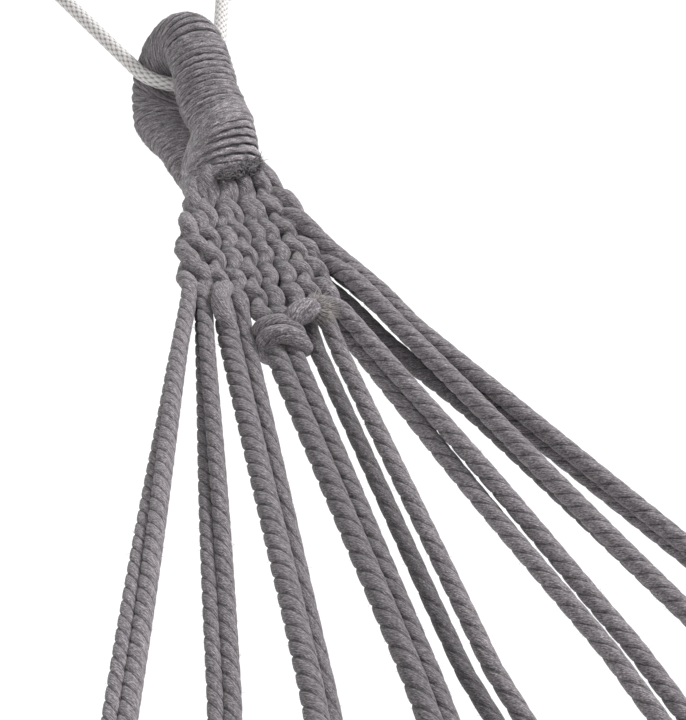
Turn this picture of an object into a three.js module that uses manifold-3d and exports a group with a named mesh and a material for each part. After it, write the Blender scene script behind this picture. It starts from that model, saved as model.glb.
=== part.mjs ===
// A cotton hammock that hangs between two posts. Each end has a rope sling, a bound
// eye, a woven clew and eight cords that run out to the hem of a cloth bed.
// X runs along the hammock, Y across it and Z up. The origin is the point where the
// left sling bears on its post. Lengths are in millimetres and angles in degrees.

import * as THREE from 'three';
import { mergeVertices } from 'three/addons/utils/BufferGeometryUtils.js';
import Module from 'manifold-3d';

const wasm = await Module();
wasm.setup();

// Cords, and the space that neighbours keep
const cordRadius = 2.5;
const slingRadius = 2.5;
const weftRadius = 1;
const touchGap = 0.3;

// Hanging shape
const clewSlope = 28.8;
const hemDistance = 460;
const hemPitch = 52;
const bedLength = 1820;

// Sling: its reach from post to eye, and its knot
const slingReach = 225.6;
const knotRadius = 8;
const knotLength = 22;

// Eye: a bundle of cords bent over and bound with yarn
const eyeCoreRadius = 7.6;
const bindingThickness = 2.1;
const bindingGap = 0.5;
const eyeHoleClearance = 2.4;
const eyeParallel = 8;
const eyeLegLength = 38;
const neckLength = 16.5;
const neckSpread = 3;
const neckCover = 0.4;
const neckLap = 4;

// Binding: yarn turns round each leg of the eye and round the neck
const eyeTurns = 10;
const turnSteps = 16;
const turnGap = 0.9;
const turnWidthLimit = 7;
const whippingTurns = 3;
const whippingInset = 2.4;

// Clew: sixteen cords, four by four at the neck and two by eight in the weave
const pairCount = 8;
const apexBehindNeck = 23.5;
const neckCordRadius = 2.1;
const neckPitch = 4.8;
const weavePitch = 5.6;
const weaveStart = 46;
const weftGap = 0.35;
const neckStraight = 3;
const straightRun = 45;

// Where each pair leaves the weave, measured from the apex of the fan
const pairExits = [68, 73, 82, 95, 92, 84, 60, 50];
// How far each pair has turned over, and how far apart it lies, half way to the hem
const pairRolls = [75, 80, -60, -70, 88, 85, 40, 65];
const pairSpreads = [3.1, 3, 2.9, 2.8, 6.2, 3.2, 2.9, 2.9];

// Weft rows, its knot and its two loose ends
const weftRows = [50, 58, 66, 75.5, 85];
const weftMargin = 4;
const weftKnotStation = 104;
const weftKnotRadius = 2.2;
const tailStation = 95;
const tailRadius = 2.2;
const tailLength = 12;
const tailFlare = 4.6;
const tuftRadius = 1.7;
const tuftWidth = 11;
const tuftOffset = 2;

// Bed cloth
const clothThickness = 3;
const clothWidth = 900;
const bedSlack = 140;
const hemMargin = 18;
const eyeletInset = 12;
const eyeletClearance = 0.9;
const eyeletFlat = 16;
const hemBand = 25;
const hemGap = 0.9;
const cutOverrun = 4.5;
// Rows of the cloth, from mid bed towards a hem
const clothRowShares = [0, 0.3, 0.55, 0.78];

// Counts of the faceted forms
const cordSides = 6;
const slingSides = 8;
const coreSides = 10;
const bindingSides = 5;
const frayedSides = 8;
const foldSteps = 4;
const eyeletSides = 6;
const archSteps = 8;
const neckSteps = 4;
const hemTurnSteps = 6;
// How far a yarn section is turned, as a share of one of its sides
const yarnTurnShare = 0.25;
// Steps of a search that halves its range
const halvings = 50;

// Places along the clew, measured from the post
const bindingRadius = eyeCoreRadius + bindingGap + bindingThickness;
const archRadius = bindingRadius + slingRadius + eyeHoleClearance;
const eyeCentre = slingReach + archRadius;
const neckStart = eyeCentre + eyeLegLength;
const neckEnd = neckStart + neckLength;
const apex = neckEnd - apexBehindNeck;
const weaveLift = cordRadius + weftRadius + weftGap;
const hemLift = clothThickness / 2 + cordRadius + hemGap;
const hemEdge = apex + hemDistance;

const slope = THREE.MathUtils.degToRad(clewSlope);
const hemX = hemEdge * Math.cos(slope);
const hemZ = -hemEdge * Math.sin(slope);
const bedWidth = clothWidth - bedSlack;
const bedSag = bedLength * Math.tan(slope) / 4;
const span = 2 * hemX + bedLength;

const cotton = new THREE.MeshStandardMaterial({ color: 0x6f6b70, roughness: 0.95, metalness: 0 });
const cottonLight = new THREE.MeshStandardMaterial({ color: 0x7d787d, roughness: 0.95, metalness: 0 });
const cottonDark = new THREE.MeshStandardMaterial({ color: 0x4b4a50, roughness: 1, metalness: 0 });
const canvas = new THREE.MeshStandardMaterial({ color: 0x77737a, roughness: 0.9, metalness: 0 });
const whiteRope = new THREE.MeshStandardMaterial({ color: 0xd8d3d0, roughness: 0.45, metalness: 0 });

// Helpers

function lerp(from, to, share) {
  return from + (to - from) * share;
}

function smooth(share) {
  const s = THREE.MathUtils.clamp(share, 0, 1);
  return s * s * (3 - 2 * s);
}

function signedVolume(positions, indices) {
  let volume = 0;
  const corner = (k) => new THREE.Vector3().fromArray(positions, 3 * indices[k]);
  for (let k = 0; k < indices.length; k += 3) {
    volume += corner(k).dot(corner(k + 1).cross(corner(k + 2)));
  }
  return volume / 6;
}

function closedGeometry(positions, indices) {
  if (signedVolume(positions, indices) < 0) {
    indices.reverse();
  }
  const geometry = new THREE.BufferGeometry();
  geometry.setAttribute('position', new THREE.Float32BufferAttribute(positions, 3));
  geometry.setIndex(indices);
  return geometry;
}

// Triangles of a flat cap on a ring of points, as a fan from its first point.
function fanCap(sides) {
  const faces = [];
  for (let k = 1; k < sides - 1; k += 1) {
    faces.push([0, k, k + 1]);
  }
  return faces;
}

// Triangles of the cap on a thin ring, as strips that join its two long faces.
function stripCap(sides) {
  const faces = [];
  for (let k = 0; k < sides / 2 - 1; k += 1) {
    const opposite = sides - 1 - k;
    faces.push([k, k + 1, opposite - 1], [k, opposite - 1, opposite]);
  }
  return faces;
}

// Skins a row of rings of points, with a cap at each end. Without a cap the last ring
// joins the first one. From the side named turnedFrom on, the faces are split along
// their other diagonal, so that both faces of a sheet are split alike.
function skin(rings, cap = fanCap, turnedFrom = Infinity) {
  const sides = rings[0].length;
  const positions = rings.flat().flatMap((point) => point.toArray());
  const indices = [];
  const last = cap ? rings.length - 1 : rings.length;
  for (let ring = 0; ring < last; ring += 1) {
    const here = ring * sides;
    const next = ((ring + 1) % rings.length) * sides;
    for (let k = 0; k < sides; k += 1) {
      const k2 = (k + 1) % sides;
      if (k < turnedFrom) {
        indices.push(here + k, here + k2, next + k2, here + k, next + k2, next + k);
      } else {
        indices.push(here + k, here + k2, next + k, here + k2, next + k2, next + k);
      }
    }
  }
  const end = (rings.length - 1) * sides;
  for (const [a, b, c] of cap ? cap(sides) : []) {
    indices.push(a, c, b, end + a, end + b, end + c);
  }
  return closedGeometry(positions, indices);
}

function tangents(points) {
  return points.map((point, k) => {
    const before = points[Math.max(k - 1, 0)];
    const after = points[Math.min(k + 1, points.length - 1)];
    return after.clone().sub(before).normalize();
  });
}

// Round sections along a route, carried along without twisting about it.
function tube(points, radii, sides) {
  const runs = tangents(points);
  const normal = new THREE.Vector3(0, 0, 1);
  const rings = points.map((point, k) => {
    normal.addScaledVector(runs[k], -normal.dot(runs[k])).normalize();
    const across = runs[k].clone().cross(normal);
    const ring = [];
    for (let j = 0; j < sides; j += 1) {
      const angle = 2 * Math.PI * (j + 0.5) / sides;
      ring.push(point.clone()
        .addScaledVector(normal, radii[k] * Math.cos(angle))
        .addScaledVector(across, radii[k] * Math.sin(angle)));
    }
    return ring;
  });
  return skin(rings);
}

function toSolid(geometry) {
  const bare = geometry.clone();
  bare.deleteAttribute('normal');
  bare.deleteAttribute('uv');
  const welded = mergeVertices(bare);
  return new wasm.Manifold(new wasm.Mesh({
    numProp: 3,
    vertProperties: new Float32Array(welded.attributes.position.array),
    triVerts: new Uint32Array(welded.index.array),
  }));
}

function fromSolid(solid) {
  const mesh = solid.getMesh();
  return closedGeometry(Array.from(mesh.vertProperties), Array.from(mesh.triVerts));
}

// Eye

// Half the spread between the two legs of the eye at a place along the clew.
function legSpread(station) {
  const bound = bindingRadius + touchGap;
  if (station < neckStart) {
    const share = (station - eyeCentre - eyeParallel) / (eyeLegLength - eyeParallel);
    return lerp(archRadius, bound, smooth(share));
  }
  return lerp(bound, neckSpread, smooth((station - neckStart) / neckLength));
}

// The eye's middle line: up the lower leg, round the arch and down the upper leg.
function eyeLine(legEnd, legStep) {
  const count = Math.round((legEnd - eyeCentre) / legStep);
  const leg = [];
  for (let k = count; k > 0; k -= 1) {
    const station = lerp(eyeCentre, legEnd, k / count);
    leg.push(new THREE.Vector3(station, 0, legSpread(station)));
  }
  const arch = [];
  for (let k = 0; k <= archSteps; k += 1) {
    const angle = Math.PI * k / archSteps;
    arch.push(new THREE.Vector3(
      eyeCentre - archRadius * Math.sin(angle), 0, -archRadius * Math.cos(angle)));
  }
  const lower = leg.map((point) => new THREE.Vector3(point.x, 0, -point.z));
  return [...lower, ...arch, ...leg.reverse()];
}

// The neck's outline at a place along the clew: two half rounds joined by flats.
function neckOutline(station, radius, count) {
  const spread = legSpread(station);
  const outline = [];
  for (let k = 0; k < count; k += 1) {
    const angle = 2 * Math.PI * (k + 0.5) / count;
    const lift = Math.sin(angle) < 0 ? -spread : spread;
    outline.push(new THREE.Vector3(
      station, radius * Math.cos(angle), lift + radius * Math.sin(angle)));
  }
  return outline;
}

function eyeCore() {
  const legs = eyeLine(neckStart + neckLap, eyeParallel);
  const bend = tube(legs, legs.map(() => eyeCoreRadius), coreSides);
  const neckRings = [];
  for (let k = 0; k <= neckSteps; k += 1) {
    const station = lerp(neckStart + neckCover, neckEnd, k / neckSteps);
    neckRings.push(neckOutline(station, eyeCoreRadius + neckCover, 2 * coreSides));
  }
  return fromSolid(toSolid(bend).add(toSolid(skin(neckRings))));
}

// One flattened section of yarn: out is away from the middle, along is the way the
// turns advance.
function yarnSection(centre, out, along, halfWidth) {
  const section = [];
  for (let k = 0; k < bindingSides; k += 1) {
    const angle = 2 * Math.PI * (k + yarnTurnShare) / bindingSides;
    section.push(centre.clone()
      .addScaledVector(out, bindingThickness / 2 * Math.cos(angle))
      .addScaledVector(along, halfWidth * Math.sin(angle)));
  }
  return section;
}

function leastSelfGap(rings, ringsPerTurn) {
  let least = Infinity;
  for (let a = 0; a < rings.length; a += 1) {
    for (let b = a + Math.round(ringsPerTurn / 2); b < rings.length; b += 1) {
      for (const from of rings[a]) {
        for (const to of rings[b]) {
          least = Math.min(least, from.distanceTo(to));
        }
      }
    }
  }
  return least;
}

// Yarn wound round both legs and the arch as one unbroken helix. Its width follows
// the room that each turn has, which is least inside the arch.
function eyeBinding() {
  const legRun = neckStart - eyeCentre;
  const archRun = Math.PI * archRadius;
  const run = 2 * legRun + archRun;
  const turnPitch = run / eyeTurns;
  const inset = turnPitch / 2;
  const turnRadius = eyeCoreRadius + bindingGap + bindingThickness / 2;
  const steps = (eyeTurns - 1) * turnSteps;
  const rings = [];
  for (let k = 0; k <= steps; k += 1) {
    const at = lerp(inset, run - inset, k / steps);
    const turn = 2 * Math.PI * k / turnSteps;
    const centre = new THREE.Vector3();
    const out = new THREE.Vector3();
    const along = new THREE.Vector3();
    let bend = 0;
    if (at < legRun || at > legRun + archRun) {
      const lower = at < legRun;
      const station = eyeCentre + (lower ? legRun - at : at - legRun - archRun);
      const side = lower ? -1 : 1;
      centre.set(station, 0, side * legSpread(station));
      out.set(0, 0, side);
      along.set(side, 0, 0);
    } else {
      const angle = (at - legRun) / archRadius;
      out.set(-Math.sin(angle), 0, -Math.cos(angle));
      centre.set(eyeCentre, 0, 0).addScaledVector(out, archRadius);
      along.set(-Math.cos(angle), 0, Math.sin(angle));
      bend = 1 / archRadius;
    }
    const radial = out.clone().multiplyScalar(Math.cos(turn));
    radial.y += Math.sin(turn);
    const room = turnPitch * (1 + bend * turnRadius * Math.cos(turn));
    const halfWidth = Math.min(room - turnGap, turnWidthLimit) / 2;
    centre.addScaledVector(radial, turnRadius);
    rings.push(yarnSection(centre, radial, along, halfWidth));
  }
  console.log(`eye binding, least gap to itself: ${leastSelfGap(rings, turnSteps).toFixed(2)} mm`);
  return skin(rings);
}

// Yarn wound round the neck, over both legs together.
function neckWhipping() {
  const first = neckStart + whippingInset;
  const last = neckEnd - whippingInset;
  const turnPitch = (last - first) / whippingTurns;
  const halfWidth = (turnPitch - turnGap) / 2;
  const turnRadius = eyeCoreRadius + neckCover + bindingGap + bindingThickness / 2;
  const steps = whippingTurns * turnSteps;
  const along = new THREE.Vector3(1, 0, 0);
  const rings = [];
  for (let k = 0; k <= steps; k += 1) {
    const station = lerp(first, last, k / steps);
    const turn = 2 * Math.PI * (k + 0.5) / turnSteps;
    const out = new THREE.Vector3(0, Math.cos(turn), Math.sin(turn));
    const lift = Math.sin(turn) < 0 ? -legSpread(station) : legSpread(station);
    const centre = new THREE.Vector3(station, 0, lift).addScaledVector(out, turnRadius);
    rings.push(yarnSection(centre, out, along, halfWidth));
  }
  console.log(`neck whipping, least gap to itself: ${leastSelfGap(rings, turnSteps).toFixed(2)} mm`);
  return skin(rings);
}

// Clew

// How many pitches a pair lies from the middle of the fan.
function pairOffset(pair) {
  return pair - (pairCount - 1) / 2;
}

// The distance between neighbouring pairs at a distance from the fan's apex.
function pairPitch(distance) {
  return Math.max(weavePitch, hemPitch * distance / hemDistance);
}

// The middle of the upper (side 1) or lower (side -1) cord of a pair. At the neck two
// pairs lie stacked, from there they open into the flat weave, and past their exit the
// two cords of a pair turn over each other until they meet the hem.
function cordPoint(pair, side, distance) {
  const opening = apexBehindNeck + touchGap + neckStraight;
  const open = THREE.MathUtils.clamp((distance - opening) / (weaveStart - opening), 0, 1);
  const pitch = pairPitch(distance);
  const couple = Math.floor(pair / 2);
  const outer = pair % 2 === 0 ? 1 : -1;
  const coupleMiddle = couple - (pairCount / 2 - 1) / 2;
  const middle = coupleMiddle * lerp(neckPitch, 2 * pitch, open);
  const across = middle - outer * pitch / 2 * open;
  const stacked = outer * neckPitch / 2 * Math.sqrt(1 - open * open);
  const lift = lerp(neckPitch, weaveLift, open) + stacked;
  const exit = pairExits[pair];
  const half = hemDistance / 2;
  const roll = THREE.MathUtils.degToRad(pairRolls[pair]);
  const turned = distance < half
    ? smooth((distance - exit) / (half - exit))
    : smooth((hemDistance - distance) / half);
  const base = distance < half ? lift : hemLift;
  const aside = pairSpreads[pair] * Math.sin(roll) * turned;
  const up = lerp(base, pairSpreads[pair] * Math.cos(roll), turned);
  return new THREE.Vector3(apex + distance, across + side * aside, side * up);
}

function cordRadiusAt(distance) {
  const neck = apexBehindNeck + touchGap;
  const share = (distance - neck) / (weaveStart - neck) / 2;
  return lerp(neckCordRadius, cordRadius, THREE.MathUtils.clamp(share, 0, 1));
}

// Distances at which a cord gets a section, from the neck out to the hem.
function cordStations(pair) {
  const neck = apexBehindNeck + touchGap;
  const opening = neck + neckStraight;
  const exit = pairExits[pair];
  const half = hemDistance / 2;
  return [
    neck,
    opening,
    lerp(opening, weaveStart, 1 / 3),
    lerp(opening, weaveStart, 2 / 3),
    weaveStart,
    exit,
    exit + straightRun,
    lerp(exit + straightRun, half, 1 / 2),
    half,
    lerp(half, hemDistance, 1 / 2),
    hemDistance - straightRun,
  ];
}

// The eyelet of a pair, and the way its cord runs there.
function eyelet(pair) {
  const across = pairOffset(pair) * hemPitch;
  const run = new THREE.Vector3(hemDistance, across, 0).normalize();
  const edge = new THREE.Vector3(hemEdge, across, 0);
  return { run, centre: edge.addScaledVector(run, eyeletInset) };
}

// One clew cord: out from the neck, through its eyelet and back below.
function clewCord(pair) {
  const stations = cordStations(pair);
  const { run, centre } = eyelet(pair);
  const turnCentre = centre.clone().addScaledVector(run, -hemLift);
  const upper = stations.map((distance) => cordPoint(pair, 1, distance));
  const lower = stations.map((distance) => cordPoint(pair, -1, distance));
  const turn = [];
  for (let k = 0; k <= hemTurnSteps; k += 1) {
    const angle = Math.PI * k / hemTurnSteps;
    turn.push(turnCentre.clone()
      .addScaledVector(run, hemLift * Math.sin(angle))
      .add(new THREE.Vector3(0, 0, hemLift * Math.cos(angle))));
  }
  const radii = stations.map(cordRadiusAt);
  const route = [...upper, ...turn, ...lower.reverse()];
  const routeRadii = [...radii, ...turn.map(() => cordRadius), ...radii.toReversed()];
  return tube(route, routeRadii, cordSides);
}

// The weft runs between the upper and lower cords, row by row, as the pairs drop out.
function weft() {
  const points = [];
  weftRows.forEach((row, k) => {
    const held = pairExits.map((exit, pair) => (exit > row ? pair : -1)).filter((pair) => pair >= 0);
    const left = pairOffset(held[0]) * pairPitch(row) - weftMargin;
    const right = pairOffset(held[held.length - 1]) * pairPitch(row) + weftMargin;
    const ends = k % 2 === 0 ? [left, right] : [right, left];
    for (const across of ends) {
      points.push(new THREE.Vector3(apex + row, across, 0));
    }
  });
  return tube(points, points.map(() => weftRadius), cordSides);
}

// The weft's knot: a ring of cord drawn round the pair next to the middle.
function weftKnot() {
  const pair = pairCount / 2 - 1;
  const upper = cordPoint(pair, 1, weftKnotStation);
  const lower = cordPoint(pair, -1, weftKnotStation);
  const middle = upper.clone().add(lower).divideScalar(2);
  const stack = upper.clone().sub(middle);
  const lift = stack.length();
  const up = stack.normalize();
  const { run } = eyelet(pair);
  const aside = run.clone().cross(up).normalize();
  const ringRadius = cordRadius + 2 * touchGap + weftKnotRadius;
  const rings = [];
  for (let k = 0; k < turnSteps; k += 1) {
    const angle = 2 * Math.PI * (k + 0.5) / turnSteps;
    const out = aside.clone().multiplyScalar(Math.cos(angle)).addScaledVector(up, Math.sin(angle));
    const centre = middle.clone()
      .addScaledVector(up, Math.sign(Math.sin(angle)) * lift)
      .addScaledVector(out, ringRadius);
    const ring = [];
    for (let j = 0; j < cordSides; j += 1) {
      const turn = 2 * Math.PI * j / cordSides;
      ring.push(centre.clone()
        .addScaledVector(out, weftKnotRadius * Math.cos(turn))
        .addScaledVector(run, weftKnotRadius * Math.sin(turn)));
    }
    rings.push(ring);
  }
  return skin(rings, null);
}

// A frayed end that runs across the clew: at each length a half height and half width.
function frayedEnd(start, lengths, heights, widths) {
  const rings = lengths.map((length, k) => {
    const ring = [];
    for (let j = 0; j < frayedSides; j += 1) {
      const angle = 2 * Math.PI * (j + 0.5) / frayedSides;
      const offset = new THREE.Vector3(
        widths[k] * Math.cos(angle), length, heights[k] * Math.sin(angle));
      ring.push(offset.add(start));
    }
    return ring;
  });
  return skin(rings);
}

// The weft's tail lies over the next pair and ends in a fan of loose fibres.
function weftTail() {
  const under = cordPoint(pairCount / 2, 1, tailStation);
  const start = new THREE.Vector3(
    apex + tailStation,
    under.y - cordRadius,
    under.z + cordRadius + touchGap + tailRadius);
  const lengths = [0, tailLength / 3, tailLength * 2 / 3, tailLength];
  const heights = [tailRadius, tailRadius, tailRadius * 2 / 3, tailRadius / 3];
  const widths = [tailRadius, tailRadius, tailFlare / 2, tailFlare];
  return frayedEnd(start, lengths, heights, widths);
}

// The tuft is the cut end of the whipping yarn, lying on the cords below the neck.
function neckTuft() {
  const lift = neckPitch * 3 / 2 + neckCordRadius + touchGap + tuftRadius;
  const start = new THREE.Vector3(
    neckEnd + touchGap + tuftRadius * 2, tuftOffset - tuftWidth / 2, lift);
  const lengths = [0, tuftWidth / 4, tuftWidth / 2, tuftWidth * 3 / 4, tuftWidth];
  const heights = [tuftRadius / 2, tuftRadius, tuftRadius * 2 / 3, tuftRadius, tuftRadius / 2];
  const widths = heights.map((height) => height + tuftRadius / 3);
  return frayedEnd(start, lengths, heights, widths);
}

// Sling

// Half of the sling's route in its own plane, from inside the eye's arch to the far
// side of the post: along the clew, from the arch's middle line, and across it.
const slingHalf = [
  [13.3, 0], [12.5, 5.1], [10.2, 9.6], [7, 12.7], [3.7, 14.4], [-3.9, 16.9], [-28.6, 24.9],
  [-81.9, 42.2], [-105.7, 49.9], [-132.5, 58.6], [-144.8, 61.5], [-157.1, 62.5],
  [-170.6, 61.4], [-183.7, 57.9], [-195.8, 52.4], [-207.3, 44.2], [-216.6, 34],
  [-222.9, 23.4], [-226.8, 11.9], [-228.1, 0],
];
const slingKnotPlace = [-55.3, 33.6];
const slingKnotRun = [-0.951, 0.309];

function slingPoint([along, across]) {
  return new THREE.Vector3(slingReach + along, across, 0);
}

// The tube leaves one end of the knot, goes round the post, through the eye and back.
function sling() {
  const mirrored = slingHalf.map(([along, across]) => [along, -across]);
  const [knotAlong, knotAcross] = slingKnotPlace;
  const [runAlong, runAcross] = slingKnotRun;
  const reach = knotLength / 2 + touchGap;
  const outEnd = [knotAlong + runAlong * reach, knotAcross + runAcross * reach];
  const backEnd = [knotAlong - runAlong * reach, knotAcross - runAcross * reach];
  const beyondKnot = slingHalf.filter(([along]) => along < outEnd[0]);
  const beforeKnot = slingHalf.filter(([along]) => along > backEnd[0]);
  const route = [
    outEnd,
    ...beyondKnot,
    ...mirrored.slice(0, -1).reverse(),
    ...beforeKnot.slice(1),
    backEnd,
  ];
  const points = route.map(slingPoint);
  return tube(points, points.map(() => slingRadius), slingSides);
}

function slingKnot() {
  const half = [
    [0, knotLength / 2], [slingRadius, knotLength / 2], [knotRadius * 3 / 4, knotLength / 3],
    [knotRadius, knotLength / 6],
  ];
  const lower = half.map(([radius, height]) => [radius, -height]);
  const profile = [...lower, [knotRadius * 7 / 8, 0], ...half.toReversed()];
  const outline = profile.map(([radius, height]) => new THREE.Vector2(radius, height));
  const geometry = new THREE.LatheGeometry(outline, slingSides);
  const run = new THREE.Vector3(slingKnotRun[0], slingKnotRun[1], 0).normalize();
  const turn = new THREE.Quaternion().setFromUnitVectors(new THREE.Vector3(0, 1, 0), run);
  geometry.applyQuaternion(turn);
  const place = slingPoint(slingKnotPlace);
  geometry.translate(place.x, place.y, place.z);
  return geometry;
}

// Bed

// Cloth positions across the width, and how far each hangs in its fold. A flat strip
// carries each eyelet, and the cloth between two strips hangs down in one fold.
function clothColumns() {
  const bay = (clothWidth - 2 * hemMargin) / (pairCount - 1);
  const hemWidth = (pairCount - 1) * hemPitch + 2 * hemMargin;
  const columns = [{ cut: 0, hem: 0, fold: 0 }];
  for (let pair = 0; pair < pairCount; pair += 1) {
    const cutMiddle = hemMargin + pair * bay;
    const hemMiddle = hemMargin + pair * hemPitch;
    columns.push({ cut: cutMiddle - eyeletFlat / 2, hem: hemMiddle - eyeletFlat / 2, fold: 0 });
    columns.push({ cut: cutMiddle + eyeletFlat / 2, hem: hemMiddle + eyeletFlat / 2, fold: 0 });
    if (pair === pairCount - 1) {
      break;
    }
    for (let k = 1; k < foldSteps; k += 1) {
      const share = k / foldSteps;
      columns.push({
        cut: cutMiddle + eyeletFlat / 2 + share * (bay - eyeletFlat),
        hem: hemMiddle + eyeletFlat / 2 + share * (hemPitch - eyeletFlat),
        fold: Math.sin(Math.PI * share),
      });
    }
  }
  columns.push({ cut: clothWidth, hem: hemWidth, fold: 0 });
  return columns.map(({ cut, hem, fold }) => ({
    cutShare: cut / clothWidth - 1 / 2,
    hemShare: hem / hemWidth - 1 / 2,
    fold,
  }));
}

// One line of points across the bed. The share is 1 at a hem and 0 at mid bed.
function clothLine(columns, endShare, width, depth, foldDepth) {
  const openness = 1 - endShare * endShare;
  return columns.map(({ cutShare, hemShare, fold }) => {
    const share = lerp(hemShare, cutShare, smooth(openness));
    return new THREE.Vector2(width * share, depth * (2 * share) ** 2 - foldDepth * fold);
  });
}

function lineLength(line) {
  let length = 0;
  for (let k = 1; k < line.length; k += 1) {
    length += line[k].distanceTo(line[k - 1]);
  }
  return length;
}

// Finds the value from zero to the limit at which a line is as long as the cloth is wide.
function solveForWidth(limit, lineAt) {
  let low = 0;
  let high = limit;
  for (let k = 0; k < halvings; k += 1) {
    const middle = (low + high) / 2;
    if (lineLength(lineAt(middle)) < clothWidth) {
      low = middle;
    } else {
      high = middle;
    }
  }
  return low;
}

// Rows of the cloth from hem to hem, as shares of half the bed's length.
function clothRows() {
  const hemRow = 1 - hemBand * Math.cos(slope) / (bedLength / 2);
  const oneSide = [...clothRowShares, hemRow, 1];
  return [...oneSide.toReversed(), ...oneSide.slice(1).map((share) => -share)];
}

// The middle of the cloth as a grid of points. Its keel hangs in a parabola that leaves
// each hem along the clew's slope, and its section opens from the folded hem to mid bed.
function bedSurface() {
  const columns = clothColumns();
  const hemWidth = (pairCount - 1) * hemPitch + 2 * hemMargin;
  const midDepth = solveForWidth(bedWidth, (depth) => clothLine(columns, 0, bedWidth, depth, 0));
  return clothRows().map((share) => {
    const openness = 1 - share * share;
    const width = lerp(hemWidth, bedWidth, openness);
    const depth = midDepth * openness * openness;
    const foldDepth = solveForWidth(bedWidth,
      (fold) => clothLine(columns, share, width, depth, fold));
    const keelX = hemX + bedLength / 2 * (1 - share);
    const keelZ = hemZ - bedSag * openness;
    return clothLine(columns, share, width, depth, foldDepth)
      .map((point) => new THREE.Vector3(keelX, point.x, keelZ + point.y));
  });
}

// Gives a grid of points a thickness, half of it on each side, and closes the edges.
function thicken(grid, thickness) {
  const rows = grid.length;
  const columns = grid[0].length;
  const normalAt = (r, c) => {
    const along = grid[Math.min(r + 1, rows - 1)][c].clone().sub(grid[Math.max(r - 1, 0)][c]);
    const across = grid[r][Math.min(c + 1, columns - 1)].clone().sub(grid[r][Math.max(c - 1, 0)]);
    return along.cross(across).normalize();
  };
  const faceAt = (r, side) => grid[r].map(
    (point, c) => point.clone().addScaledVector(normalAt(r, c), side * thickness / 2));
  const rings = grid.map((line, r) => [...faceAt(r, 1), ...faceAt(r, -1).reverse()]);
  return skin(rings, stripCap, columns);
}

function bedCloth(ends) {
  let cloth = toSolid(thicken(bedSurface(), clothThickness));
  const radius = cordRadius + eyeletClearance;
  const height = clothThickness + 2 * cutOverrun;
  for (const end of ends) {
    for (let pair = 0; pair < pairCount; pair += 1) {
      const { centre } = eyelet(pair);
      const punch = new THREE.CylinderGeometry(radius, radius, height, eyeletSides);
      punch.rotateX(Math.PI / 2);
      punch.translate(centre.x, centre.y, centre.z);
      punch.applyMatrix4(end.matrixWorld);
      cloth = cloth.subtract(toSolid(punch));
    }
  }
  return fromSolid(cloth);
}

// Assembly

const hammock = new THREE.Group();

// The group that an end of the hammock is built in. Its X runs from the post down the clew.
function clewGroup(end) {
  const turned = new THREE.Group();
  if (end === 'right') {
    turned.position.set(span, 0, 0);
    turned.rotation.z = Math.PI;
  }
  const sloped = new THREE.Group();
  sloped.rotation.y = slope;
  turned.add(sloped);
  hammock.add(turned);
  return sloped;
}

const endNames = ['left', 'right'];
const clewGroups = endNames.map(clewGroup);
hammock.updateMatrixWorld(true);

function add(group, name, geometry, material) {
  const mesh = new THREE.Mesh(geometry, material);
  mesh.name = name;
  group.add(mesh);
}

endNames.forEach((side, k) => {
  const group = clewGroups[k];
  add(group, `${side}_eye_core`, eyeCore(), cottonDark);
  add(group, `${side}_eye_binding`, eyeBinding(), cottonLight);
  add(group, `${side}_neck_whipping`, neckWhipping(), cottonLight);
  for (let pair = 0; pair < pairCount; pair += 1) {
    add(group, `${side}_clew_cord_${pair + 1}`, clewCord(pair), cotton);
  }
  add(group, `${side}_weft`, weft(), cotton);
  add(group, `${side}_weft_knot`, weftKnot(), cottonLight);
  add(group, `${side}_weft_tail`, weftTail(), cottonLight);
  add(group, `${side}_neck_tuft`, neckTuft(), cottonDark);
  add(group, `${side}_sling`, sling(), whiteRope);
  add(group, `${side}_sling_knot`, slingKnot(), whiteRope);
});
add(hammock, 'bed_cloth', bedCloth(clewGroups), canvas);

export default hammock;
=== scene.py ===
# A cotton hammock with bound eyes, woven clews, rope slings and a gathered cloth bed.
# Shapes are worked out in millimetres, in the frame of one clew or of the whole
# hammock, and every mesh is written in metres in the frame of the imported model.

import math

import bpy
import numpy as np
from mathutils import Matrix, Vector


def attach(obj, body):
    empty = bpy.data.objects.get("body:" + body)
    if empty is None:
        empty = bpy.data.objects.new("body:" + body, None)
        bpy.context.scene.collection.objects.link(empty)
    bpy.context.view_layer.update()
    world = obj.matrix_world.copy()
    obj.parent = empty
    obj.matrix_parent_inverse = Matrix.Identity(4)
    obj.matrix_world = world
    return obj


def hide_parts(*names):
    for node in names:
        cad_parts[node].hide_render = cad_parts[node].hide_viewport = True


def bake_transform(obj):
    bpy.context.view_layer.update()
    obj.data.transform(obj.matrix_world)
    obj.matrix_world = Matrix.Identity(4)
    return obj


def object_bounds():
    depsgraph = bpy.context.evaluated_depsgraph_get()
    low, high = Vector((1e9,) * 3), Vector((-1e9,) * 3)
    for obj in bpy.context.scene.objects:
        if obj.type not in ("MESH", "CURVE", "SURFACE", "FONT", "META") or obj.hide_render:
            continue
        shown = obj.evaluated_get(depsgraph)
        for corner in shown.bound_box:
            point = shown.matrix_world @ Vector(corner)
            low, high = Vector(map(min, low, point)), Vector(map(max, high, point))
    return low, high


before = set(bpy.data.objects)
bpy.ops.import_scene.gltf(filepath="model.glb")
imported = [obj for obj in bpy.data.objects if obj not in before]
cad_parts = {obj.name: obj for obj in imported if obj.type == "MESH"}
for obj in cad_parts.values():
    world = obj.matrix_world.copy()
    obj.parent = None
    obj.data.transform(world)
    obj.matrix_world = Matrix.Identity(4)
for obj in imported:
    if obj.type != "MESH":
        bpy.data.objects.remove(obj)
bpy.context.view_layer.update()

MM = 0.001
END_NAMES = ("left", "right")
UP = np.array([0.0, 0.0, 1.0])

# Hanging shape
CLEW_SLOPE = math.radians(28.8)
HEM_DISTANCE = 460
HEM_PITCH = 52
BED_LENGTH = 1820

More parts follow.
